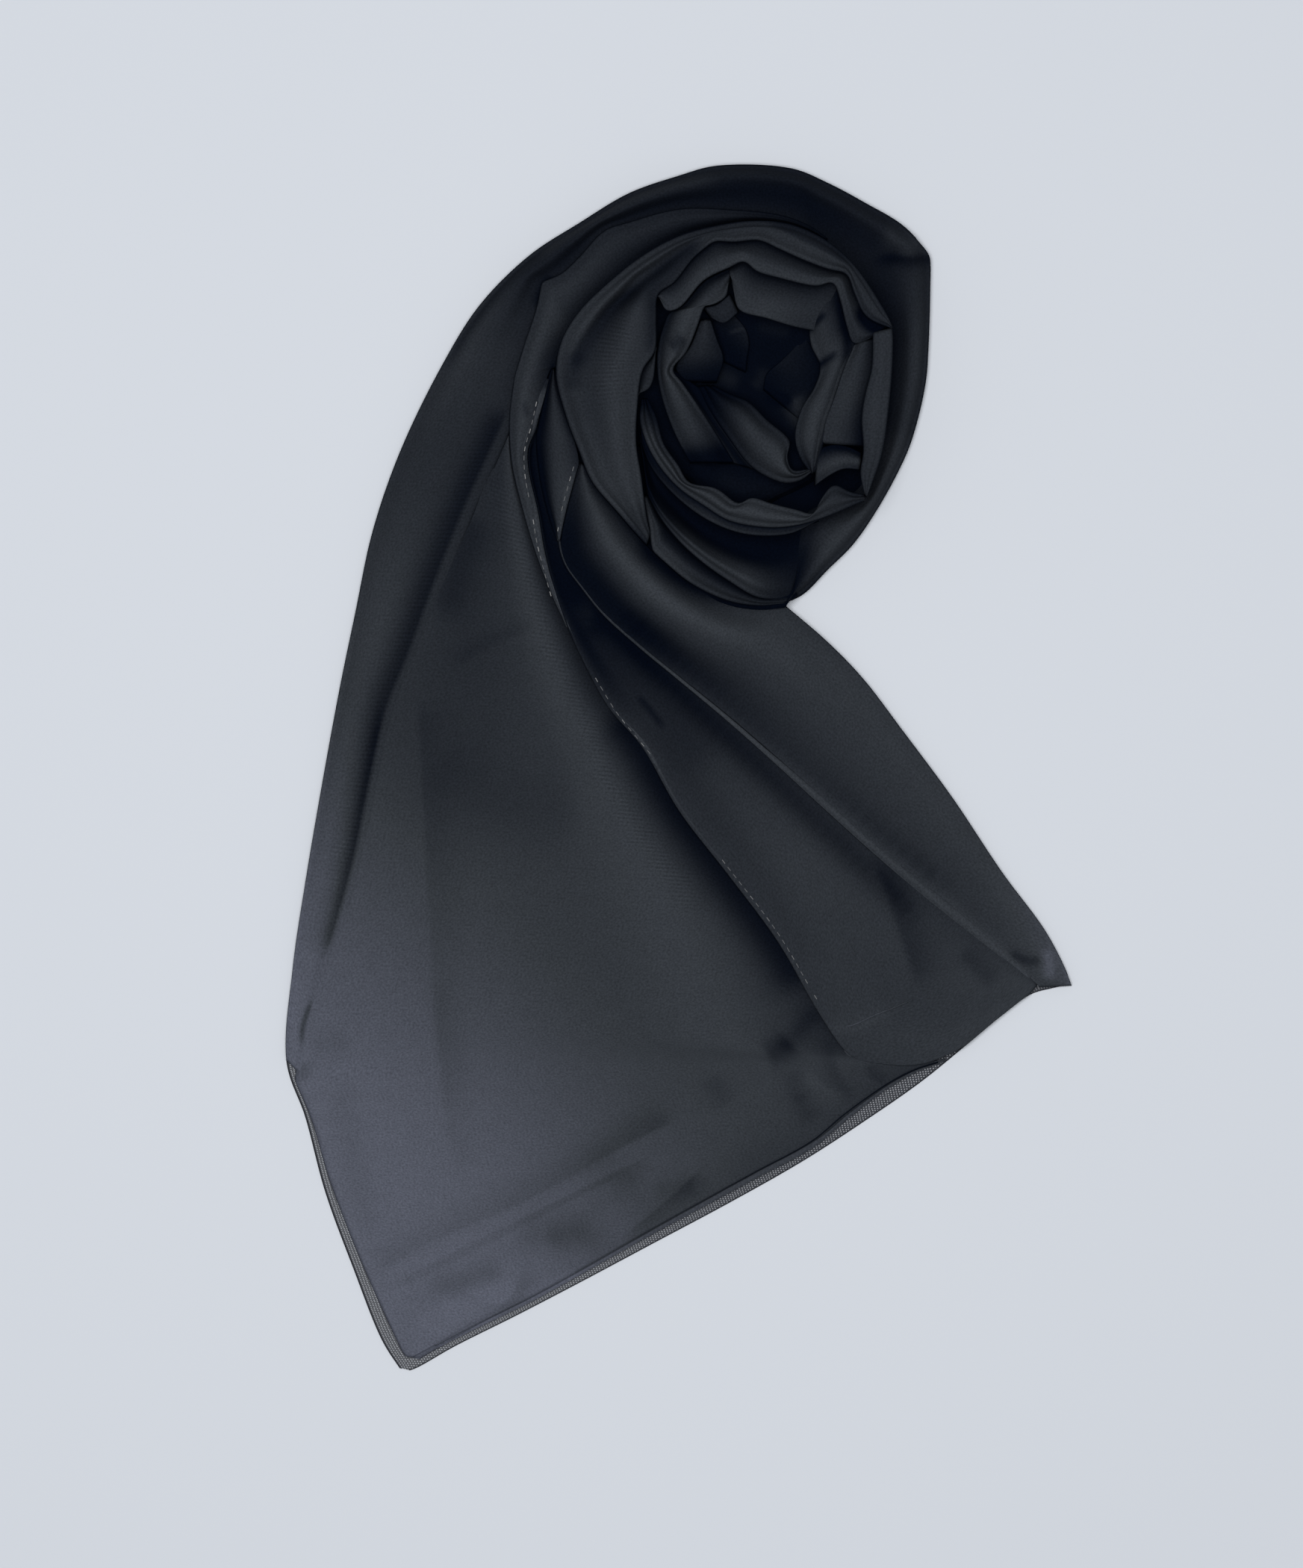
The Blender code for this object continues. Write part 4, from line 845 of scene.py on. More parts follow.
cloth_stretch("ring_crescent_under", (
    (("crescent_under", (53, 97.6), (-15.2, 130)), ("crescent_outer", (55, 99.2), (-14.8, 136))),
), (0, 0.5, 1), (
    (0, 11.5, 23, 24, 24, 0),
    (0.7, 10.5, 23, 24, 24, 0),
    (1, 5, 22, 23, 23, 0),
), (
    (0, -0.45, -0.6, -0.8),
    (0.5, -0.3, -0.5, -0.8),
    (0.75, -0.55, -0.7, -0.85),
    (1, -0.95, -0.95, -0.95),
), outer=("fold", 1.2), inner=("tuck", 3), ends=((2.0, 3.0), (0.4, 8.0)))

cloth_stretch("ring_crescent", (
    (("crescent_outer", (73.5, 106.6), (-15, 147.5)), ("crescent_inner", (73, 110), (-12.3, 147.5))),
), (0, 0.25, 0.6, 1), (
    (0, 14.5, 25, 27, 27, 25, 3),
    (0.14, 15, 26, 29.5, 30, 27, 6),
    (0.24, 4, 27, 31, 31.5, 28.5, 8),
    (0.7, 4, 27, 32, 33, 29, 8),
    (1, 3, 24, 26, 26, 24, 3),
), (
    (0, -0.45, -0.35, -0.4, -0.5),
    (0.14, -0.25, -0.2, -0.25, -0.35),
    (0.24, -0.12, -0.05, -0.05, -0.15),
    (0.7, -0.15, -0.08, -0.1, -0.2),
    (0.86, -0.15, -0.1, -0.2, -0.4),
    (0.94, -0.5, -0.5, -0.6, -0.7),
    (1, -0.95, -0.95, -0.95, -0.95),
), outer=("fold", 1.8), inner=("fold", 1.6), ends=(END_TURN, (0.4, 8.0)))

cloth_stretch("petal_underflap", (
    (("petal_inner", (-10, 166), (-16.2, 150.5)), ("underflap_edge", (-9.2, 168), (-15.6, 150.2))),
), (0, 0.5, 1), (
    (0, 1, 20, 21, 22, 4),
    (1, 1, 20, 21, 21, 4),
), (
    (0, -0.7, -0.45, -0.3),
    (1, -0.6, -0.35, -0.3),
), outer=("tuck", 3), inner=("fold", 1.2), nodes=())

# %% [markdown]
# ## The inner turns
# Inside the broad petal the cloth winds on in narrower bands, each with a soft fold at its rim. They
# are made like the outer ones, and only the radius of the fold grows smaller.

# %% Lay the inner turns
cloth_stretch("ring_2", (
    (("petal_inner", (-8.1, 189.6), (12.8, 209.8)), ("ring_2_inner", (-7.6, 188), (17, 198.8))),
    (("ring_1_inner", (13.2, 210.9), (67, 197.5)), ("ring_2_inner", (17, 198.8), (62, 193.5))),
    (("ring_1_inner", (67, 197.5), (82, 176.9)), ("ring_2_inner", (62, 193.5), (76.2, 171.8))),
), (0, 0.3, 0.7, 1), (
    (0, 2, 26, 27, 27, 26, 2),
    (1.08, 2, 26, 28.5, 31.5, 31, 5),
    (1.86, 2, 26, 28.5, 31, 30.5, 5),
    (3, 2, 26, 27, 28, 26, 2),
), (
    (0, -0.6, -0.4, -0.2, -0.15),
    (1.08, -0.8, -0.45, -0.2, -0.1),
    (1.86, -0.7, -0.4, -0.22, -0.12),
    (3, -0.5, -0.35, -0.3, -0.4),
), outer=("tuck", 3), inner=("fold", 1.5), shading_strokes=(
    (((72, 186), (75, 179.5), (79, 176), (84, 176.5)), 3, 3, -0.8),
))

cloth_stretch("ring_3", (
    (("ring_2_inner", (19.5, 199.8), (-4.5, 182.8)), ("ring_3_top", (19.8, 192.8), (10.2, 185))),
    (("ring_3_outer", (-5, 181), (4, 123.4)), ("ring_3_inner", (9.8, 184), (21.6, 123.6))),
), (0, 0.3, 0.7, 1), (
    (0, 2, 24, 26, 26, 24, 3),
    (0.95, 3, 22, 25.5, 27.5, 26.5, 6),
    (1.43, 5, 22, 25.5, 26.5, 23, 4),
    (2, 6, 21, 23, 22, 19, 3),
), (
    (0, -0.75, -0.5, -0.25, -0.15),
    (0.95, -0.7, -0.25, -0.1, -0.1),
    (1.43, -0.45, -0.15, -0.1, -0.15),
    (2, -0.35, -0.3, -0.4, -0.6),
), outer=("fold", 1.2), inner=("fold", 1.5), settle=3, shading_strokes=(
    (((-4, 168), (-1, 170), (3, 173)), 3, 3, -0.3),
    (((-4, 122), (4, 123), (12, 124), (20, 123), (28, 122)), 5.5, 5.5, -0.6),
))

cloth_stretch("top_petal", (
    (("ring_2_inner", (23, 201.2), (61.5, 194)), ("top_petal_edge", (21.8, 191.2), (51.6, 175.6))),
), (0, 0.3, 0.7, 1), (
    (0, 2, 22, 24, 25, 24, 3),
    (0.5, 2, 22, 25, 27.5, 27, 6),
    (1, 2, 23, 25, 25, 23, 3),
), (
    (0, -0.75, -0.4, -0.2, -0.15),
    (0.5, -0.7, -0.35, -0.15, -0.1),
    (1, -0.6, -0.4, -0.3, -0.3),
), outer=("tuck", 3), inner=("fold", 1.2), ends=((2.4, 0.8), (3.0, 0.8)))

# %% [markdown]
# ## The limbs on the right
# On the right the turns run down side by side as two limbs, with a small pocket between them. The
# inner limb shows the cloth's own hem, which is sewn on below.

# %% Lay the limbs on the right
INNER_LIMB = cloth_stretch("right_inner_limb", (
    (("ring_2_inner", (62.5, 192.5), (69.6, 170)), ("inner_limb_edge", (52.2, 174.4), (56, 162))),
    (("double_hem", (69.7, 168.6), (54.1, 119.6)), ("inner_limb_edge", (56.5, 160.5), (52.2, 119))),
), (0, 0.3, 0.7, 1), (
    (0, 2, 23, 25, 25, 21, 4),
    (1.1, 2, 25, 27.5, 27, 24, 5),
    (1.7, 2, 25, 27.5, 27, 24, 5),
    (2, 2, 24, 25, 25, 23, 4),
), (
    (0, -0.8, -0.5, -0.25, -0.2),
    (0.6, -0.8, -0.45, -0.2, -0.15),
    (1.1, -0.4, -0.2, -0.15, -0.3),
    (1.7, -0.3, -0.12, -0.15, -0.35),
    (2, -0.5, -0.4, -0.4, -0.6),
), outer=("tuck", 2), inner=("fold", 1.5), shading_strokes=(
    (((64, 192), (66.5, 180), (67.5, 170), (65, 160)), 2.2, 2.2, -0.4),
    (((50, 173), (54.5, 178), (59.5, 183)), 1.3, 1.3, -0.5),
    (((53, 159.5), (58, 162.5), (64.5, 167)), 1.4, 1.4, -0.55),
))

cloth_stretch("right_outer_limb", (
    (("ring_1_limb", (77.2, 170.4), (73.6, 130)), ("double_hem", (69.8, 168.4), (56.8, 131.4))),
), (0, 0.3, 0.7, 1), (
    (0, 2, 26, 28, 28, 25, 2),
    (0.5, 2, 25, 27, 28, 27, 2),
    (1, 2, 24, 26, 25, 24, 2),
), (
    (0, -0.6, -0.4, -0.25, -0.22),
    (0.5, -0.55, -0.3, -0.2, -0.25),
    (1, -0.85, -0.5, -0.25, -0.25),
), outer=("tuck", 2), inner=("fold", 0.8))

cloth_stretch("pocket_flap", (
    (("pocket_upper", (56.6, 128.3), (72.3, 126.6)), ("pocket_lower", (55.5, 113.8), (71.3, 119.5))),
), (0, 0.3, 0.7, 1), (
    (0, 3, 23, 24, 24, 22, 3),
    (1, 3, 24, 26, 26, 25, 3),
), (
    (0, -0.9, -0.5, -0.22, -0.35),
    (0.5, -0.98, -0.45, -0.12, -0.3),
    (1, -0.8, -0.4, -0.2, -0.45),
), outer=("fold", 1), inner=("fold", 1))

# %% [markdown]
# ## The middle
# The cloth's end is tucked into the middle as one curled fold with a wedge and a flap beside it. A
# valley below the fold keeps its shadow dark, and that shadow is painted shade.

# %% Lay the folds in the middle
cloth_stretch("fold_valley", (
    (("ring_3_inner", (-2.5, 159.5), (22, 123)), ("centre_fold_outer", (8.2, 152), (29, 121))),
), (0, 0.5, 1), (
    (0, 1, 17, 15, 15, 1),
    (1, 1, 18, 17, 19, 1),
), (
    (0, -0.95, -1, -1),
    (0.5, -0.6, -0.85, -0.65),
    (1, -0.6, -0.85, -0.6),
), outer=("tuck", 2), inner=("tuck", 3), nodes=())

cloth_stretch("centre_fold", (
    (("centre_fold_outer", (8.2, 152), (53, 118.4)), ("centre_fold_inner", (15.2, 152.9), (51, 119.6))),
), (0, 0.3, 0.7, 1), (
    (0, 4, 16, 18, 18, 16, 4),
    (0.4, 6, 20, 24.5, 25.5, 21, 6),
    (0.8, 7, 23, 27, 27.5, 24, 6),
    (1, 5, 23, 25, 25, 23, 4),
), (
    (0, -1, -0.95, -0.9, -0.95),
    (0.4, -0.55, -0.3, -0.2, -0.45),
    (0.8, -0.25, -0.1, -0.1, -0.3),
    (1, -0.3, -0.3, -0.3, -0.4),
), outer=("fold", 2), inner=("fold", 2))

cloth_stretch("centre_wedge", (
    (("wedge_left", (8.4, 178.6), (1.5, 156)), ("wedge_right", (13.1, 178.6), (15.6, 156))),
), (0, 0.5, 1), (
    (0, 3, 20, 21, 20, 3),
    (1, 3, 16, 16, 15, 2),
), (
    (0, -0.4, -0.3, -0.45),
    (0.5, -0.4, -0.4, -0.6),
    (1, -0.85, -0.88, -0.93),
), outer=("fold", 1), inner=("fold", 1))

cloth_stretch("centre_flap", (
    (("flap_upper", (11.2, 184.7), (19.5, 189)), ("flap_lower", (14.1, 179.7), (23.1, 181.9))),
), (0, 0.5, 1), (
    (0, 3, 22, 22, 21, 3),
    (1, 3, 23, 23, 22, 3),
), (
    (0, -0.45, -0.4, -0.45),
    (1, -0.45, -0.4, -0.45),
), outer=("fold", 1), inner=("fold", 1))

# %% [markdown]
# ## The hollow
# Between the inner turns one looks down on a few folds that get little light. Two stretches painted
# in deep shade are enough for them: more would be hidden, and a plain black hole would look cut out.

# %% Lay the folds that show deep in the hollow
cloth_stretch("hollow_flap", (
    (("wedge_right", (13.1, 178.6), (17.5, 164)), ("hollow_flap_edge", (23, 181), (27, 160))),
), (0, 0.5, 1), (
    (0, 2, 13, 14, 14, 2),
    (1, 2, 12, 12.5, 12.5, 2),
), (
    (0, -0.85, -0.72, -0.6),
    (0.4, -0.92, -0.8, -0.62),
    (0.8, -0.97, -0.93, -0.85),
    (1, -1, -0.97, -0.92),
), outer=("tuck", 1), inner=("fold", 0.8), nodes=(), shading_strokes=(
    (((19.5, 174), (23, 175.5), (27, 176.5)), 0.7, 0.7, 0.25),
))

cloth_stretch("hollow_wall", (
    (("hollow_wall_edge", (50, 173), (34, 153)), ("inner_limb_edge", (54, 168), (48.5, 141))),
), (0, 0.5, 1), (
    (0, 2, 14, 15, 16, 1),
    (1, 2, 12, 13, 14, 1),
), (
    (0, -0.7, -0.8, -0.92),
    (0.5, -0.66, -0.74, -0.86),
    (0.8, -0.85, -0.8, -0.7),
    (1, -0.97, -0.92, -0.8),
), outer=("fold", 0.8), inner=("tuck", 2), nodes=(), shading_strokes=(
    (((50, 136), (48, 143), (45, 150)), 4, 4, 0.35),
    (((36, 150), (41, 148), (47, 146.5)), 1.8, 1.8, -0.3),
))

# %% [markdown]
# ## The layers below
# The lowest layer lies flat on the floor. One thickness of georgette lets a good part of the light
# through, so it shows as pale strips outside the upper hem and along the lower left.

# %% Lay the lowest layer
FLAT_STEP = 2.0
FLAT_COLUMNS = 70
# Distances from the rim, where the lowest layer has more columns.
NEAR_RIM = (0, 0.3, 0.6, 1.0, 1.6, 2.6, 4.0, 6.0)
RIM_RISE = 0.25


def lowest_layer():
    """One flat sheet inside the outline, a little above the floor."""
    legs = (
        (("outline_left", (-112, -241), (-157.5, -118)), ("hem_outline", (-108, -242), (156, -86.8))),
        (("outline_left", (-157.5, -118), (-130, 62)), ("tail_right", (156.5, -85), (43, 65))),
        (("outline_left", (-130, 62), (95, 213)), ("outline_right", (43, 67), (101, 202))),
    )
    left, right, _ = sides(legs, FLAT_STEP)
    width = np.linalg.norm(right - left, axis=1)[:, None]
    near = np.minimum(np.array(NEAR_RIM)[None, :] / width, 0.2)
    inner = np.linspace(0.0, 1.0, FLAT_COLUMNS)[None, 1:-1]
    between = near[:, -1:] + (1 - 2 * near[:, -1:]) * inner
    share = np.hstack([near, between, 1 - near[:, ::-1]])[:, :, None]
    flat = left[:, None, :] * (1 - share) + right[:, None, :] * share
    rim = np.minimum(share, 1 - share)[:, :, 0] * np.linalg.norm(right - left, axis=1)[:, None]
    level = FLOOR_GAP + RIM_RISE * np.exp(-rim)
    grid = np.concatenate([flat, level[:, :, None]], axis=2)
    # Painted light: the net is painted lighter, and a little more open, towards the lower left.
    light = np.clip(fewer_layers(flat.reshape(-1, 2)), 0.0, 1.0).reshape(rim.shape)
    piece = add_sheet("under_layer", grid, {"rim": rim, "light": light})
    SHEETS["under_layer"] = (piece, ("under_layer",))


lowest_layer()

# %% [markdown]
# ## Inside the rosette
# The turns that nothing shows are a low dome with a hollow in its middle: a spiral of sheets would be
# hidden work. A sheet under it, painted in deep shade, closes the narrow gaps between the turns.

# %% Lay the hidden layers
# The middle of the wound core, the painted shade of its layers, and the painted shade and height of
# the sheet below it.
CORE = (20.0, 145.0)
HIDDEN_SHADE = -0.88
BED_SHADE = -0.92
BED_HEIGHT = 7.2
# Painted light and shade in the hollow. Columns: line, width on its left, width on its right,
# painted light added.
HOLLOW_SHADING = (
    (((51, 136), (46, 143), (43, 150)), 4, 4.5, 0.45),
    (((6, 158), (16, 158), (26, 153)), 4, 4, 0.25),
    (((29, 152), (33, 156), (35, 162)), 3, 3, 0.2),
    (((30, 178), (38, 176), (46, 174)), 3, 3, 0.15),
    (((35, 149.5), (40, 147.5), (46, 146)), 2, 2, -0.35),
    (((10, 118), (30, 112), (50, 110)), 5, 5, 0.12),
)


def hidden_layers():
    """The wound layers inside the rosette, as a low dome with a hollow in its middle."""
    # Columns: direction from the core's centre in degrees, reach in millimetres.
    reach = (
        (0, 58), (30, 58), (60, 61), (90, 64), (120, 61), (150, 61), (180, 54), (200, 42),
        (215, 35), (240, 35), (260, 41), (280, 44), (300, 43), (330, 48), (360, 58),
    )
    # Columns: share of the reach, height.
    profile = np.array((
        (1.0, 2.0), (1.0, 5.0), (0.97, 8.0), (0.94, 11.0), (0.9, 12.4), (0.8, 14.2), (0.68, 14.4),
        (0.5, 12.2), (0.33, 9.4), (0.2, 8.8), (0.1, 8.6), (0.02, 8.6),
    ))
    turn = np.linspace(0.0, 2 * np.pi, 180, endpoint=False)
    size = blend(reach, np.degrees(turn))[:, 0]
    fine = np.linspace(0, len(profile) - 1, 60)
    share = np.interp(fine, np.arange(len(profile)), profile[:, 0])
    height = np.interp(fine, np.arange(len(profile)), profile[:, 1])
    radius = share[None, :] * size[:, None]
    x = CORE[0] + radius * np.cos(turn)[:, None]
    y = CORE[1] + radius * np.sin(turn)[:, None]
    grid = np.stack([x, y, np.repeat(height[None, :], len(turn), axis=0)], axis=-1)
    # Painted deep shade all over, with strokes of painted light and shade on the folds in the hollow.
    painted_shading = HIDDEN_SHADE + strokes(grid[:, :, :2].reshape(-1, 2), HOLLOW_SHADING).reshape(grid.shape[:2])
    piece = add_sheet("hidden_layers", grid, {"painted_shading": painted_shading, "ribs": painted_shading * 0.0}, closed=True)
    SHEETS["hidden_layers"] = (piece, ("hidden_layers",))


def rosette_bed():
    """A sheet painted in deep shade below the whole rosette, seen only through its gaps."""
    rim = smooth(EDGES["petal_outer"])[::4]
    share = np.linspace(0.05, 1.02, 40)[None, :, None]
    flat = np.array(CORE) * (1 - share) + rim[:, None, :] * share
    grid = np.concatenate([flat, np.full((*flat.shape[:2], 1), BED_HEIGHT)], axis=2)
    painted_shading = np.full(flat.shape[:2], BED_SHADE)
    piece = add_sheet("rosette_bed", grid, {"painted_shading": painted_shading, "ribs": painted_shading * 0.0}, closed=True)
    SHEETS["rosette_bed"] = (piece, ())


hidden_layers()
rosette_bed()

# %% [markdown]
# ## Hems and stitches
# The long sides are rolled and sewn in a narrow hem, and the end is turned up in a wide one. Each is
# a strip laid on its panel: it takes the panel's own heights and painted shading, and stands a
# thread's thickness above them. The stitches are short bars on the strip, a fixed pitch apart.

# %% Work out a strip and its stitches
# Millimetres: how far a strip stands above its sheet, and the pitch, length, width and rise of a
# stitch. A bar's two levels are drops from its top.
HEM_LIFT = 0.45
STITCH_PITCH = 3.6
STITCH_LENGTH = 1.9
THREAD_WIDTH = 0.3
STITCH_RISE = 0.25
STITCH_LEVELS = (0.45, 0.1)
STEPS_PER_POINT = 9
# The columns of a strip: place across it, share of the lift.
HEM_COLUMNS = ((0.0, -0.6), (0.06, 0.6), (0.16, 1.0), (0.5, 1.0), (0.84, 1.0), (0.94, 0.6), (1.0, -0.6))
# Every few stitches one catches light: the turn from one to the next, and the limit for its cosine.
GLINT_TURN = 2.4
GLINT_LIMIT = 0.7


def resting(points, base):
    """Height and painted shading of the base sheet at the points, from its nearest three points."""
    place, painted_shading = base
    top = place[:, 2] > 0.9
    place, painted_shading = place[top], painted_shading[top]
    gap = ((points[:, None, :] - place[None, :, :2]) ** 2).sum(axis=2)
    near = np.argpartition(gap, 3, axis=1)[:, :3]
    weight = 1.0 / (np.take_along_axis(gap, near, axis=1) + 0.05)
    weight /= weight.sum(axis=1, keepdims=True)
    return (place[near, 2] * weight).sum(axis=1), (painted_shading[near] * weight).sum(axis=1)


def beside(line, amounts):
    """The line moved square to itself by the given amounts, to the left of its direction."""
    slope = np.gradient(line, axis=0)
    slope /= np.linalg.norm(slope, axis=1, keepdims=True)
    return line + np.stack([-slope[:, 1], slope[:, 0]], axis=1) * amounts[:, None]


# How much darker or lighter a strip is painted from its line to its far side: painted shade at its
# edges and painted light between them.
PLAIN_EDGE_SHADING = (-0.15, 0.12, 0.05, 0.0, 0.02, 0.06, -0.2)
SEWN_EDGE_SHADING = (-0.5, 0.05, -0.1, 0.05, -0.1, 0.0, -0.5)
SOFT = (0.0, 0.0, 0.0, 0.0, 0.0, 0.0, 0.0)


def hem(name, base, line, widths, painted_shading_added, nodes=(), lift=HEM_LIFT, edge=PLAIN_EDGE_SHADING):
    """A strip along the line on the base sheet. Widths, to its left, and painted shading run along it."""
    path = along(smooth(line), len(line) * STEPS_PER_POINT)
    width = np.interp(np.linspace(0, 1, len(path)), np.linspace(0, 1, len(widths)), widths)
    share, rise = np.array(HEM_COLUMNS).T
    added = np.interp(np.linspace(0, 1, len(path)), np.linspace(0, 1, len(painted_shading_added)), painted_shading_added)
    flat = np.stack([beside(path, width * k) for k in share], axis=1)
    level, painted_shading = resting(flat.reshape(-1, 2), base)
    level = level.reshape(flat.shape[:2])
    level = np.stack([np.convolve(np.pad(c, 2, "edge"), np.ones(5) / 5, "valid") for c in level.T], axis=1)
    # The panel's painted shading, with painted shade and light across the strip and along it.
    painted_shading = painted_shading.reshape(level.shape) + np.array(edge)[None, :] + added[:, None]
    grid = np.concatenate([flat, (level + rise * lift)[:, :, None]], axis=2)
    piece = add_sheet(name, grid, {"painted_shading": painted_shading, "ribs": painted_shading * 0.0})
    SHEETS[name] = (piece, nodes)
    return grid.reshape(-1, 3), painted_shading.ravel()


def stitches(name, base, lines):
    """Short bars along each line, a pitch apart, on the base sheet. Columns: line, share of light."""
    bars, light = [], []
    for line, share in lines:
        path = smooth(line)
        length = np.linalg.norm(np.diff(path, axis=0), axis=1).sum()
        path = along(path, max(2, int(length / STITCH_PITCH)))
        turn = np.gradient(path, axis=0)
        turn /= np.linalg.norm(turn, axis=1, keepdims=True)
        ends = np.stack([path - turn * STITCH_LENGTH / 2, path + turn * STITCH_LENGTH / 2], axis=1)
        side = np.stack([-turn[:, 1], turn[:, 0]], axis=1)[:, None, :] * THREAD_WIDTH / 2
        level, _ = resting(path, base)
        ring = np.stack([ends - side, ends + side], axis=2).reshape(-1, 4, 2)[:, (0, 1, 3, 2)]
        for drop in STITCH_LEVELS:
            height = np.repeat(level[:, None, None] + HEM_LIFT + STITCH_RISE - drop, 4, axis=1)
            bars.append(np.concatenate([ring, height], axis=2))
        glint = np.cos(np.arange(len(path)) * GLINT_TURN) > GLINT_LIMIT
        light.append(share * (0.2 + 0.8 * glint))
    low, high = np.vstack(bars[0::2]), np.vstack(bars[1::2])
    points = np.concatenate([low, high], axis=1)
    faces = np.array(((4, 5, 6, 7), (0, 1, 5, 4), (1, 2, 6, 5), (2, 3, 7, 6), (3, 0, 4, 7), (3, 2, 1, 0)))
    quads = (np.arange(len(points))[:, None, None] * 8 + faces[None]).reshape(-1, 4)
    mesh = bpy.data.meshes.new(name)
    mesh.from_pydata(points.reshape(-1, 3) * MM, [], quads)
    values = np.repeat(np.concatenate(light), 8)
    mesh.attributes.new("light", "FLOAT", "POINT").data.foreach_set("value", values)
    piece = bpy.data.objects.new(name, mesh)
    bpy.context.scene.collection.objects.link(piece)
    print(f"{name}: {len(points)} stitches")
    return piece


print("a stitch every", STITCH_PITCH, "mm")

# %% [markdown]
# ## Where the hems run
# A rolled hem is a narrow bead of cloth, a little lighter than the panel because it has more layers
# that catch the light, and painted lighter still. Its width and its painted light and shade change
# along it, where it turns towards or away from the lamp. A row of stitches would be too fine to model
# as thread, so each stitch is one short bar.

# %% Sew the hems
LAPEL_HEM = hem(
    "lapel_hem", MIDDLE_LAPEL,
    ((-44.5, 58), (-47.4, 65), (-50.6, 74.5), (-54.4, 88), (-56.8, 103), (-60.6, 119), (-60.8, 127.5),
     (-57.3, 137), (-54, 148), (-52, 156)),
    (0.5, 1.2, 2.0, 2.8, 2.8, 2.2, 1.8, 2.4, 3.0, 1.2),
    (0.2, 0.15, 0.1, 0.1, 0.1, 0.1, 0.12, 0.3, 0.35, 0.1),
)
RIGHT_LAPEL_HEM = hem(
    "right_lapel_hem", RIGHT_LAPEL,
    ((-47.9, 92), (-47.2, 96), (-45.2, 104), (-42.3, 114), (-40, 122)), (1.0, 1.6, 3.0, 3.2, 1.6),
    (0.25, 0.15, 0.1, 0.08, 0.0),
)
SIDE_HEM = hem(
    "side_hem_1", MIDDLE_PANEL,
    ((-46, 61), (-44, 55.5), (-38, 42.5), (-28, 24.5), (-15, 9.5), (0, -16.5), (20, -42.5),
     (40, -69.5), (56, -97.5), (66, -112)),
    (0.6, 0.8, 1.2, 2.2, 2.6, 2.4, 2.4, 2.4, 2.4, 2.4),
    (0.5, 0.45, 0.3, 0.15, 0.05, 0.05, 0.05, 0.05, 0.05, 0.05), ("side_hem_1",),
)
hem(
    "side_hem_2", RIGHT_PANEL,
    ((-48.4, 92), (-47.9, 88), (-45.4, 81), (-39.5, 72.8), (-30.4, 61.5), (-15.5, 48), (-0.5, 35.6),
     (19.3, 19), (40, 0.5), (60, -18), (80, -36), (100, -53), (120, -69), (140, -85.5)),
    (0.9, 1.1, 1.2, 1.3, 1.5, 1.9, 2.2, 3.0, 4.0, 4.4, 4.8, 4.8, 4.4, 3.0),
    (0.5, 0.55, 0.55, 0.45, 0.4, 0.35, 0.25, 0.12, 0.08, 0.06, 0.05, 0.05, 0.05, 0.05), ("side_hem_2",),
    edge=SEWN_EDGE_SHADING,
)
# The end hem's bead, painted a little lighter as it catches light.
hem(
    "end_hem", MIDDLE_PANEL,
    ((66.2, -113.4), (68, -115.6), (72, -117.3), (83, -118.8), (92, -119.2), (100, -118), (107, -115.4)),
    (1.2, 1.2), (0.15, 0.15, 0.15, 0.12, 0.1, 0.05, 0.0), ("end_hem",), 0.25,
)
# A fine ridge on the fold of the end hem, painted lighter as a highlight.
hem(
    "end_hem_fold", MIDDLE_PANEL,
    ((57.6, -100.5), (60, -103.2), (64, -104.3), (70, -103.4), (78, -99.8), (86, -96.6), (94, -93)),
    (0.4, 0.7, 0.8, 0.8, 0.8, 0.7, 0.5), (0.05, 0.2, 0.2, 0.18, 0.14, 0.1, 0.0), lift=0.5,
)
UPPER_HEM = (
    (104, -117.7), (95, -120.6), (85, -125.6), (67, -138.1), (53, -149.6), (30, -162.1), (10, -173.1),
    (-10, -184.1), (-40, -201.1), (-60, -212.1), (-80, -222.1), (-98, -231.5),
)
# A band of painted light along the upper hem.
hem(
    "upper_hem_band", LEFT_PANEL,
    ((107, -116.6), *UPPER_HEM),
    (0.6, 1.6, 2.4, 2.6, 2.6, 2.4, 2.2, 2.0, 2.0, 2.0, 1.8, 1.4), (0.3, 0.28, 0.2, 0.12, 0.08), lift=-0.3,
    edge=SOFT,
)
# A dark strip of painted shadow along the edge of the upper hem.
hem(
    "upper_hem_shadow", LEFT_PANEL,
    UPPER_HEM,
    (0.7, 0.7), (-0.5, -0.5, -0.5, -0.5, -0.45, -0.4, -0.35, -0.3, -0.3, -0.3, -0.3, -0.3), lift=0.35,
    edge=SOFT,
)
hem(
    "limb_hem", INNER_LIMB,
    ((54.6, 120.5), (56, 126.5), (58.6, 137.4), (62.6, 148.4), (66.5, 160.3), (69.6, 167.5)),
    (0.8, 1.5, 1.7, 1.7, 1.6, 0.9), (0.1, 0.1, 0.1, 0.1, 0.1, 0.0), edge=SEWN_EDGE_SHADING,
)

# %% [markdown]
# ## The stitches
# Only three stretches of the hems show their thread in the photograph: along both lapels, and here
# and there along the first side hem. The last number of a row is how much light it catches.

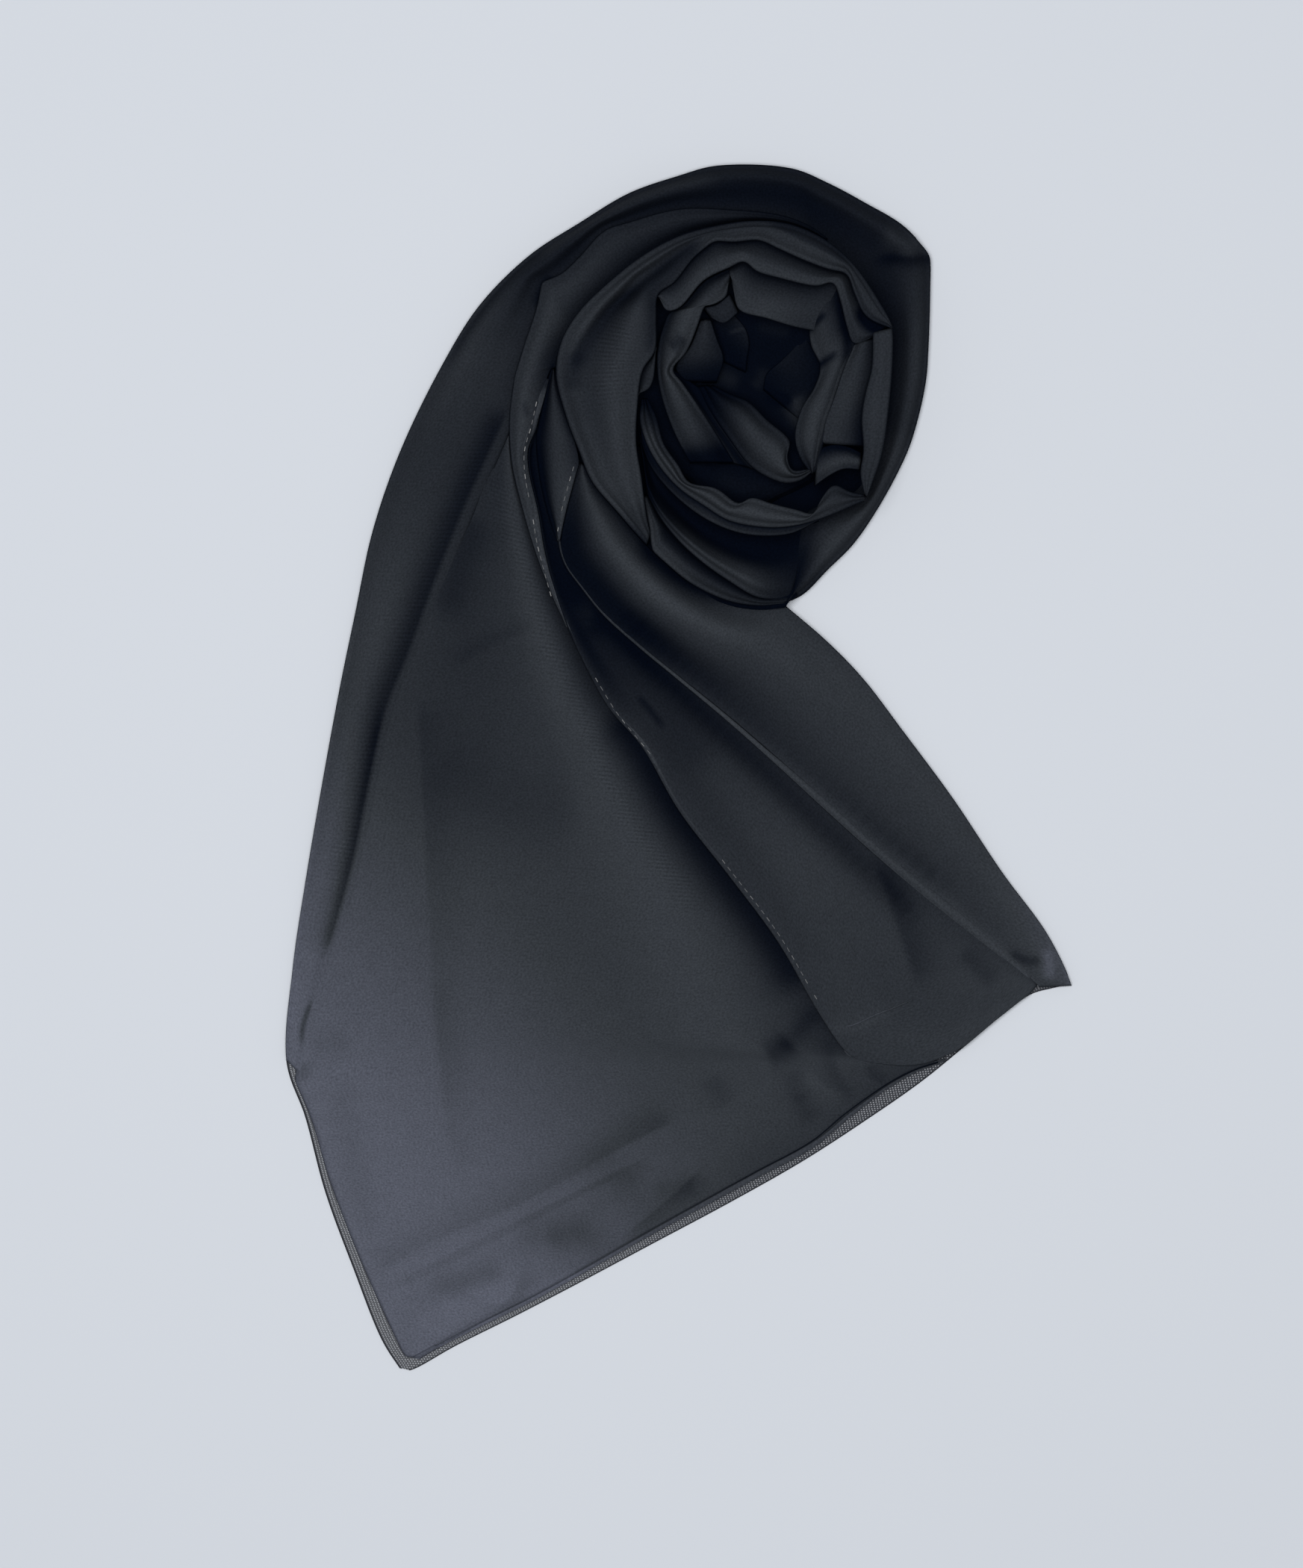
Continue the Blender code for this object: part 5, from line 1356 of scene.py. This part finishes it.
# %% Sew the seams
SEAMS = (
    stitches("stitches_lapel", LAPEL_HEM, (
        (((-51.5, 70), (-54, 79), (-57, 91), (-58.8, 102), (-61.6, 117), (-61.9, 127), (-59.2, 137),
          (-57.2, 146)), 0.9),
    )),
    stitches("stitches_right_lapel", RIGHT_LAPEL_HEM, (
        (((-48.4, 96), (-46.8, 104), (-44.4, 113), (-42.4, 120)), 0.7),
    )),
    stitches("stitches_hem_1", SIDE_HEM, (
        (((-33, 35.5), (-25, 22.5), (-12, 6.5)), 0.45),
        (((18, -37.5), (40, -66.5), (55, -92), (61, -101)), 0.3),
    )),
)

# %% [markdown]
# ## The finish
# Georgette's twisted yarns give a dull, grainy face. The colour is a near black with a little blue,
# and the grain is a fine noise in the cloth's own coordinates, so that it follows every fold.

# %% Write the shader as arithmetic
class Value:
    """A number that varies over the surface, written with ordinary arithmetic."""

    def __init__(self, tree, socket):
        self.tree, self.socket = tree, socket

    def math(self, operation, *others, clamp=False):
        node = self.tree.nodes.new("ShaderNodeMath")
        node.operation, node.use_clamp = operation, clamp
        for i, item in enumerate((self, *others)):
            if isinstance(item, Value):
                self.tree.links.new(item.socket, node.inputs[i])
            else:
                node.inputs[i].default_value = item
        return Value(self.tree, node.outputs[0])

    def __add__(self, other):
        return self.math("ADD", other)

    def __mul__(self, other):
        return self.math("MULTIPLY", other)

    def __sub__(self, other):
        return self.math("SUBTRACT", other)

    def __rsub__(self, other):
        return (self * -1.0) + other

    __radd__, __rmul__ = __add__, __mul__


class Finish:
    """A material whose nodes are made one call at a time."""

    def __init__(self, name):
        self.material = bpy.data.materials.new(name)
        self.material.use_nodes = True
        self.tree = self.material.node_tree
        self.shader = self.tree.nodes["Principled BSDF"]

    def node(self, kind, settings=None, inputs=None):
        """One node of this kind. Inputs are numbers, colours, sockets or Values."""
        made = self.tree.nodes.new("ShaderNode" + kind)
        for key, value in (settings or {}).items():
            setattr(made, key, value)
        for key, value in (inputs or {}).items():
            self.feed(made.inputs[key], value)
        return made

    def feed(self, socket, value):
        value = value.socket if isinstance(value, Value) else value
        if isinstance(value, bpy.types.NodeSocket):
            self.tree.links.new(value, socket)
        else:
            socket.default_value = value

    def attribute(self, name):
        return Value(self.tree, self.node("Attribute", {"attribute_name": name}).outputs["Fac"])

    def noise(self, scale, detail=2.0):
        place = self.node("UVMap", {"uv_map": "cloth"}).outputs["UV"]
        inputs = {"Vector": place, "Scale": scale, "Detail": detail, "Roughness": 0.6}
        return Value(self.tree, self.node("TexNoise", {"noise_dimensions": "2D"}, inputs).outputs["Fac"])

    def scale(self, colour, factor):
        made = self.node("VectorMath", {"operation": "SCALE"}, {0: colour, "Scale": factor})
        return made.outputs[0]

    def mix(self, share, first, second):
        made = self.node("Mix", {"data_type": "RGBA"})
        for socket, value in zip((made.inputs[0], made.inputs[6], made.inputs[7]), (share, first, second)):
            self.feed(socket, value)
        return made.outputs[2]


print("Value and Finish are ready")

# %% [markdown]
# ## Black georgette
# Four things make its look: a near black dye, a grain from the twisted yarns, the floor's light that
# comes through where few layers lie, painted in as colour, and painted shade in its pockets and folds.
# A fabric photograph would carry its own folds, so the colour is mixed from the sheet's painted light
# and shade and the grain is procedural.

# %% Make the georgette
# Colours are linear. Scales are per metre of cloth, and the pitch of the ribs is in metres.
# The first colour is painted shade for the deepest pockets, the second the cloth's own colour on open
# cloth, and the third painted light from the floor seen through few layers.
PAINTED_POCKET_SHADE = (0.0008, 0.0020, 0.0058, 1.0)
OPEN = (0.034, 0.0385, 0.0455, 1.0)
PAINTED_FLOOR_LIGHT = (0.098, 0.105, 0.135, 1.0)
GRAIN = 1100.0
SLUB = 160.0
RIB_PITCH = 0.0018
# How strongly the grain, the slubs and the ribs change the colour, and the first and last the bump.
GRAIN_COLOUR = 1.1
SLUB_COLOUR = 0.15
RIB_COLOUR = 0.13
GRAIN_BUMP = 0.6
RIB_BUMP = 0.5
BUMP_DISTANCE = 0.00016
BUMP_STRENGTH = 0.7
CLOTH_ROUGHNESS = 0.85
CLOTH_SPECULAR = 0.02


def georgette(name, lift=1.0):
    """Black georgette. Its painted shading goes from the shade of a deep pocket to floor light."""
    finish = Finish(name)
    painted_shading = finish.attribute("painted_shading")
    ribs = finish.attribute("ribs").math("MULTIPLY", 1.0, clamp=True)
    grain = finish.noise(GRAIN, 3.0)
    slub = finish.noise(SLUB, 2.0)
    # The painted shading picks the colour: painted pocket shade, open cloth, painted floor light.
    open_share = (painted_shading + 1.0).math("MULTIPLY", lift, clamp=True).math("POWER", 2.0)
    floor_light_share = painted_shading.math("MULTIPLY", 1.0, clamp=True)
    base = finish.mix(open_share, PAINTED_POCKET_SHADE, OPEN)
    base = finish.mix(floor_light_share, base, PAINTED_FLOOR_LIGHT)
    place = finish.node("SeparateXYZ", inputs={0: finish.node("UVMap", {"uv_map": "cloth"}).outputs["UV"]})
    wave = (Value(finish.tree, place.outputs["Y"]) * (2 * np.pi / RIB_PITCH)).math("SINE")
    speckle = (grain - 0.5) * GRAIN_COLOUR + (slub - 0.5) * SLUB_COLOUR + wave * ribs * RIB_COLOUR + 1.0
    base = finish.scale(base, speckle)
    finish.feed(finish.shader.inputs["Base Color"], base)
    finish.feed(finish.shader.inputs["Roughness"], CLOTH_ROUGHNESS)
    finish.feed(finish.shader.inputs["Specular IOR Level"], CLOTH_SPECULAR)
    height = grain * GRAIN_BUMP + wave * ribs * RIB_BUMP
    inputs = {"Height": height, "Distance": BUMP_DISTANCE, "Strength": BUMP_STRENGTH}
    bump = finish.node("Bump", inputs=inputs)
    finish.feed(finish.shader.inputs["Normal"], bump.outputs["Normal"])
    print(name, "has", len(finish.tree.nodes), "nodes")
    return finish.material


CLOTH = georgette("georgette_black")

# %% [markdown]
# ## One thickness over the floor
# A single layer of georgette is an open net: one sees the yarns and the pale floor between them. A
# cell pattern makes the net's holes, and they are transparent, because a grey colour would turn
# solid from the side. Along its rolled rim the layer is closed.

# %% Make the single layer
# The net's cells per metre, how uneven they are, their colour in the darker part, their painted light
# in the lighter part and their painted shade at the rim, and how much of them is cloth.
NET = 900.0
NET_RANDOMNESS = 0.15
NET_DARK = (0.05, 0.053, 0.062, 1.0)
NET_LIGHT = (0.1, 0.104, 0.115, 1.0)
NET_RIM = (0.012, 0.013, 0.017, 1.0)
NET_COVER = 0.58
NET_MIDDLE = 0.38
NET_CONTRAST = 1.9
LIGHT_COVER = 0.04
# The rim's cover: its fall for each millimetre from the rim, and its value at the rim.
RIM_FALL = -1.6
RIM_COVER = 1.4


def single_layer(name):
    """One thickness of georgette over the floor: a fine open net, closer along its rolled rim."""
    finish = Finish(name)
    finish.feed(finish.shader.inputs["Roughness"], CLOTH_ROUGHNESS)
    finish.feed(finish.shader.inputs["Specular IOR Level"], CLOTH_SPECULAR)
    place = finish.node("UVMap", {"uv_map": "cloth"}).outputs["UV"]
    inputs = {"Vector": place, "Scale": NET, "Randomness": NET_RANDOMNESS}
    cells = finish.node("TexVoronoi", {"voronoi_dimensions": "2D"}, inputs)
    net = Value(finish.tree, cells.outputs["Distance"])
    rim = (finish.attribute("rim") * RIM_FALL + RIM_COVER).math("MULTIPLY", 1.0, clamp=True)
    light = finish.attribute("light")
    cover = (net - NET_MIDDLE) * NET_CONTRAST + NET_COVER + rim - light * LIGHT_COVER
    cover = cover.math("MULTIPLY", 1.0, clamp=True)
    # Painted light towards the lower left, and painted shade along the closed rim.
    shade = finish.mix(light, NET_DARK, NET_LIGHT)
    shade = finish.mix(rim, shade, NET_RIM)
    finish.feed(finish.shader.inputs["Base Color"], shade)
    finish.feed(finish.shader.inputs["Alpha"], cover)
    print(name, "has", len(finish.tree.nodes), "nodes")
    return finish.material


SHEER = single_layer("georgette_sheer")

# %% [markdown]
# ## The hems and the thread
# A rolled hem is the same georgette, three layers thick, so it lets no floor through and is a little
# lighter. The sewing thread is twisted and has no net: a plain grey is enough at its size.

# %% Make the hem's cloth and the thread
HEM_BRIGHTER = 1.06
THREAD_DARK = (0.035, 0.039, 0.046, 1)
THREAD_LIGHT = (0.2, 0.2, 0.2, 1)
THREAD_ROUGHNESS = 0.6


def thread(name):
    """The sewing thread: a dull grey that is lighter where the attribute says that it catches light."""
    finish = Finish(name)
    light = finish.attribute("light")
    finish.feed(finish.shader.inputs["Base Color"], finish.mix(light, THREAD_DARK, THREAD_LIGHT))
    finish.feed(finish.shader.inputs["Roughness"], THREAD_ROUGHNESS)
    print(name, "has", len(finish.tree.nodes), "nodes")
    return finish.material


HEM = georgette("georgette_hem_black", lift=HEM_BRIGHTER)
THREAD_FINISH = thread("sewing_thread")

# %% [markdown]
# ## What takes the place of what
# Each sheet rides on the part's one body and takes the place of the plain walls that it covers. The
# hems are a slot of their own, so that their finish can be changed apart from the cloth's.

# %% Put the finishes on
HEM_NAMES = (
    "lapel_hem", "right_lapel_hem", "side_hem_1", "side_hem_2", "end_hem", "end_hem_fold", "limb_hem",
    "upper_hem_shadow", "upper_hem_band",
)
for name, (piece, nodes) in SHEETS.items():
    sewn = name in HEM_NAMES
    piece.data.materials.append(SHEER if name == "under_layer" else HEM if sewn else CLOTH)
    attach(piece, "root")
    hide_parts(*nodes)
for piece in SEAMS:
    piece.data.materials.append(THREAD_FINISH)
    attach(piece, "root")
print(len(SHEETS), "sheets and", len(SEAMS), "seams")

# %% [markdown]
# ## The cut
# The whole scarf is one length of cloth, 700 mm wide and 1800 mm long. Each stretch that shows is a
# part of it, and its share of the flat cloth is stated here as the smallest rectangle round it.

# %% State the cut of each stretch
# Columns: stretch, width and length of its rectangle in mm, share of the rectangle, what it lies on.
CUTS = (
    ("left_panel", 250, 390, 0.48, "under_layer"),
    ("middle_panel", 90, 270, 0.61, "left_panel"),
    ("right_panel", 85, 270, 0.60, "middle_panel"),
    ("right_lapel", 30, 75, 0.76, "middle_panel"),
    ("middle_lapel", 30, 260, 0.72, "left_panel"),
    ("outer_turn", 55, 660, 0.65, "left_panel"),
    ("petal_turn", 55, 260, 0.82, "middle_lapel"),
    ("ring_1_right", 45, 75, 0.86, "outer_turn"),
    ("lower_band", 30, 85, 0.66, "right_panel"),
    ("band_under_ring", 45, 90, 0.78, "lower_band"),
    ("ring_crescent_under", 25, 100, 0.78, "band_under_ring"),
    ("ring_crescent", 40, 130, 0.80, "ring_crescent_under"),
    ("petal_underflap", 20, 28, 0.66, "hidden_layers"),
    ("ring_2", 30, 125, 0.70, "petal_turn"),
    ("ring_3", 40, 100, 0.74, "ring_2"),
    ("top_petal", 35, 46, 0.80, "ring_2"),
    ("right_inner_limb", 30, 78, 0.77, "ring_2"),
    ("right_outer_limb", 28, 50, 0.78, "ring_1_right"),
    ("pocket_flap", 30, 28, 0.78, "right_inner_limb"),
    ("fold_valley", 20, 50, 0.50, "hidden_layers"),
    ("centre_fold", 40, 70, 0.83, "hidden_layers"),
    ("centre_wedge", 30, 35, 0.82, "hidden_layers"),
    ("centre_flap", 25, 22, 0.72, "hidden_layers"),
    ("hollow_flap", 25, 28, 0.72, "hidden_layers"),
    ("hollow_wall", 28, 38, 0.62, "hidden_layers"),
    ("under_layer", 310, 480, 0.64, ""),
    ("hidden_layers", 120, 120, 0.79, "under_layer"),
    ("rosette_bed", 140, 155, 0.64, "under_layer"),
)
SEWN_ON = {
    "left_panel": ("upper_hem_shadow", "upper_hem_band"),
    "middle_panel": ("side_hem_1", "end_hem", "end_hem_fold"),
    "right_panel": ("side_hem_2",),
    "middle_lapel": ("lapel_hem",),
    "right_lapel": ("right_lapel_hem",),
    "right_inner_limb": ("limb_hem",),
}
THREADS_ON = {"middle_lapel": SEAMS[0], "right_lapel": SEAMS[1], "middle_panel": SEAMS[2]}
for name, width, length, share, below in CUTS:
    sewn = [SHEETS[other][0] for other in SEWN_ON.get(name, ())]
    sewn += [THREADS_ON[name]] if name in THREADS_ON else []
print(len(CUTS), "stretches of the cut")

# %% [markdown]
# ## The stage
# The photograph looks straight down through a long lens at a cloth on a pale ground, under a broad
# soft light. The camera stands high for the same flat view, and one large lamp hangs over the cloth.

# %% Set the camera, the light and the floor
# Metres, but the sensor is in millimetres.
CAMERA_HEIGHT = 6.0
VIEW_CENTRE = (-0.01095, -0.0063)
VIEW_HEIGHT = 0.63
SENSOR = 24.0
VIEW_LIMITS = (0.05, 30.0)
# The lamp: diameter in metres, watts, place and turn in radians.
LAMP_SIZE = 1.8
LAMP_POWER = 52.0
LAMP_PLACE = (-0.16, 0.16, 2.4)
LAMP_TURN = (-0.06, -0.06, 0.0)
SKY_COLOUR = (0.9, 0.95, 1.0, 1.0)
SKY_STRENGTH = 0.25
FLOOR_REACH = 3.0
FLOOR_COLOUR = (0.645, 0.672, 0.72, 1.0)
FLOOR_ROUGHNESS = 0.9


def stage():
    """The camera over the photograph's middle, a lamp, a dim sky and a plain floor."""
    scene = bpy.context.scene
    camera = bpy.data.cameras.new("camera")
    camera.sensor_fit, camera.sensor_height = "VERTICAL", SENSOR
    camera.lens = SENSOR * CAMERA_HEIGHT / VIEW_HEIGHT
    camera.clip_start, camera.clip_end = VIEW_LIMITS
    scene.camera = bpy.data.objects.new("camera", camera)
    scene.camera.location = (*VIEW_CENTRE, CAMERA_HEIGHT)
    scene.collection.objects.link(scene.camera)
    lamp = bpy.data.lights.new("softbox", "AREA")
    lamp.shape, lamp.size, lamp.energy = "DISK", LAMP_SIZE, LAMP_POWER
    softbox = bpy.data.objects.new("softbox", lamp)
    softbox.location = LAMP_PLACE
    softbox.rotation_euler = LAMP_TURN
    scene.collection.objects.link(softbox)
    world = bpy.data.worlds.new("sky")
    world.use_nodes = True
    sky = world.node_tree.nodes["Background"].inputs
    sky["Color"].default_value = SKY_COLOUR
    sky["Strength"].default_value = SKY_STRENGTH
    scene.world = world
    mesh = bpy.data.meshes.new("floor")
    corners = [(x * FLOOR_REACH, y * FLOOR_REACH, 0) for x, y in ((-1, -1), (1, -1), (1, 1), (-1, 1))]
    mesh.from_pydata(corners, [], [(0, 1, 2, 3)])
    floor = bpy.data.objects.new("floor", mesh)
    paint = Finish("floor")
    paint.feed(paint.shader.inputs["Base Color"], FLOOR_COLOUR)
    paint.feed(paint.shader.inputs["Roughness"], FLOOR_ROUGHNESS)
    mesh.materials.append(paint.material)
    scene.collection.objects.link(floor)
    scene.view_settings.view_transform = "Standard"


stage()
print("camera at", CAMERA_HEIGHT, "m")
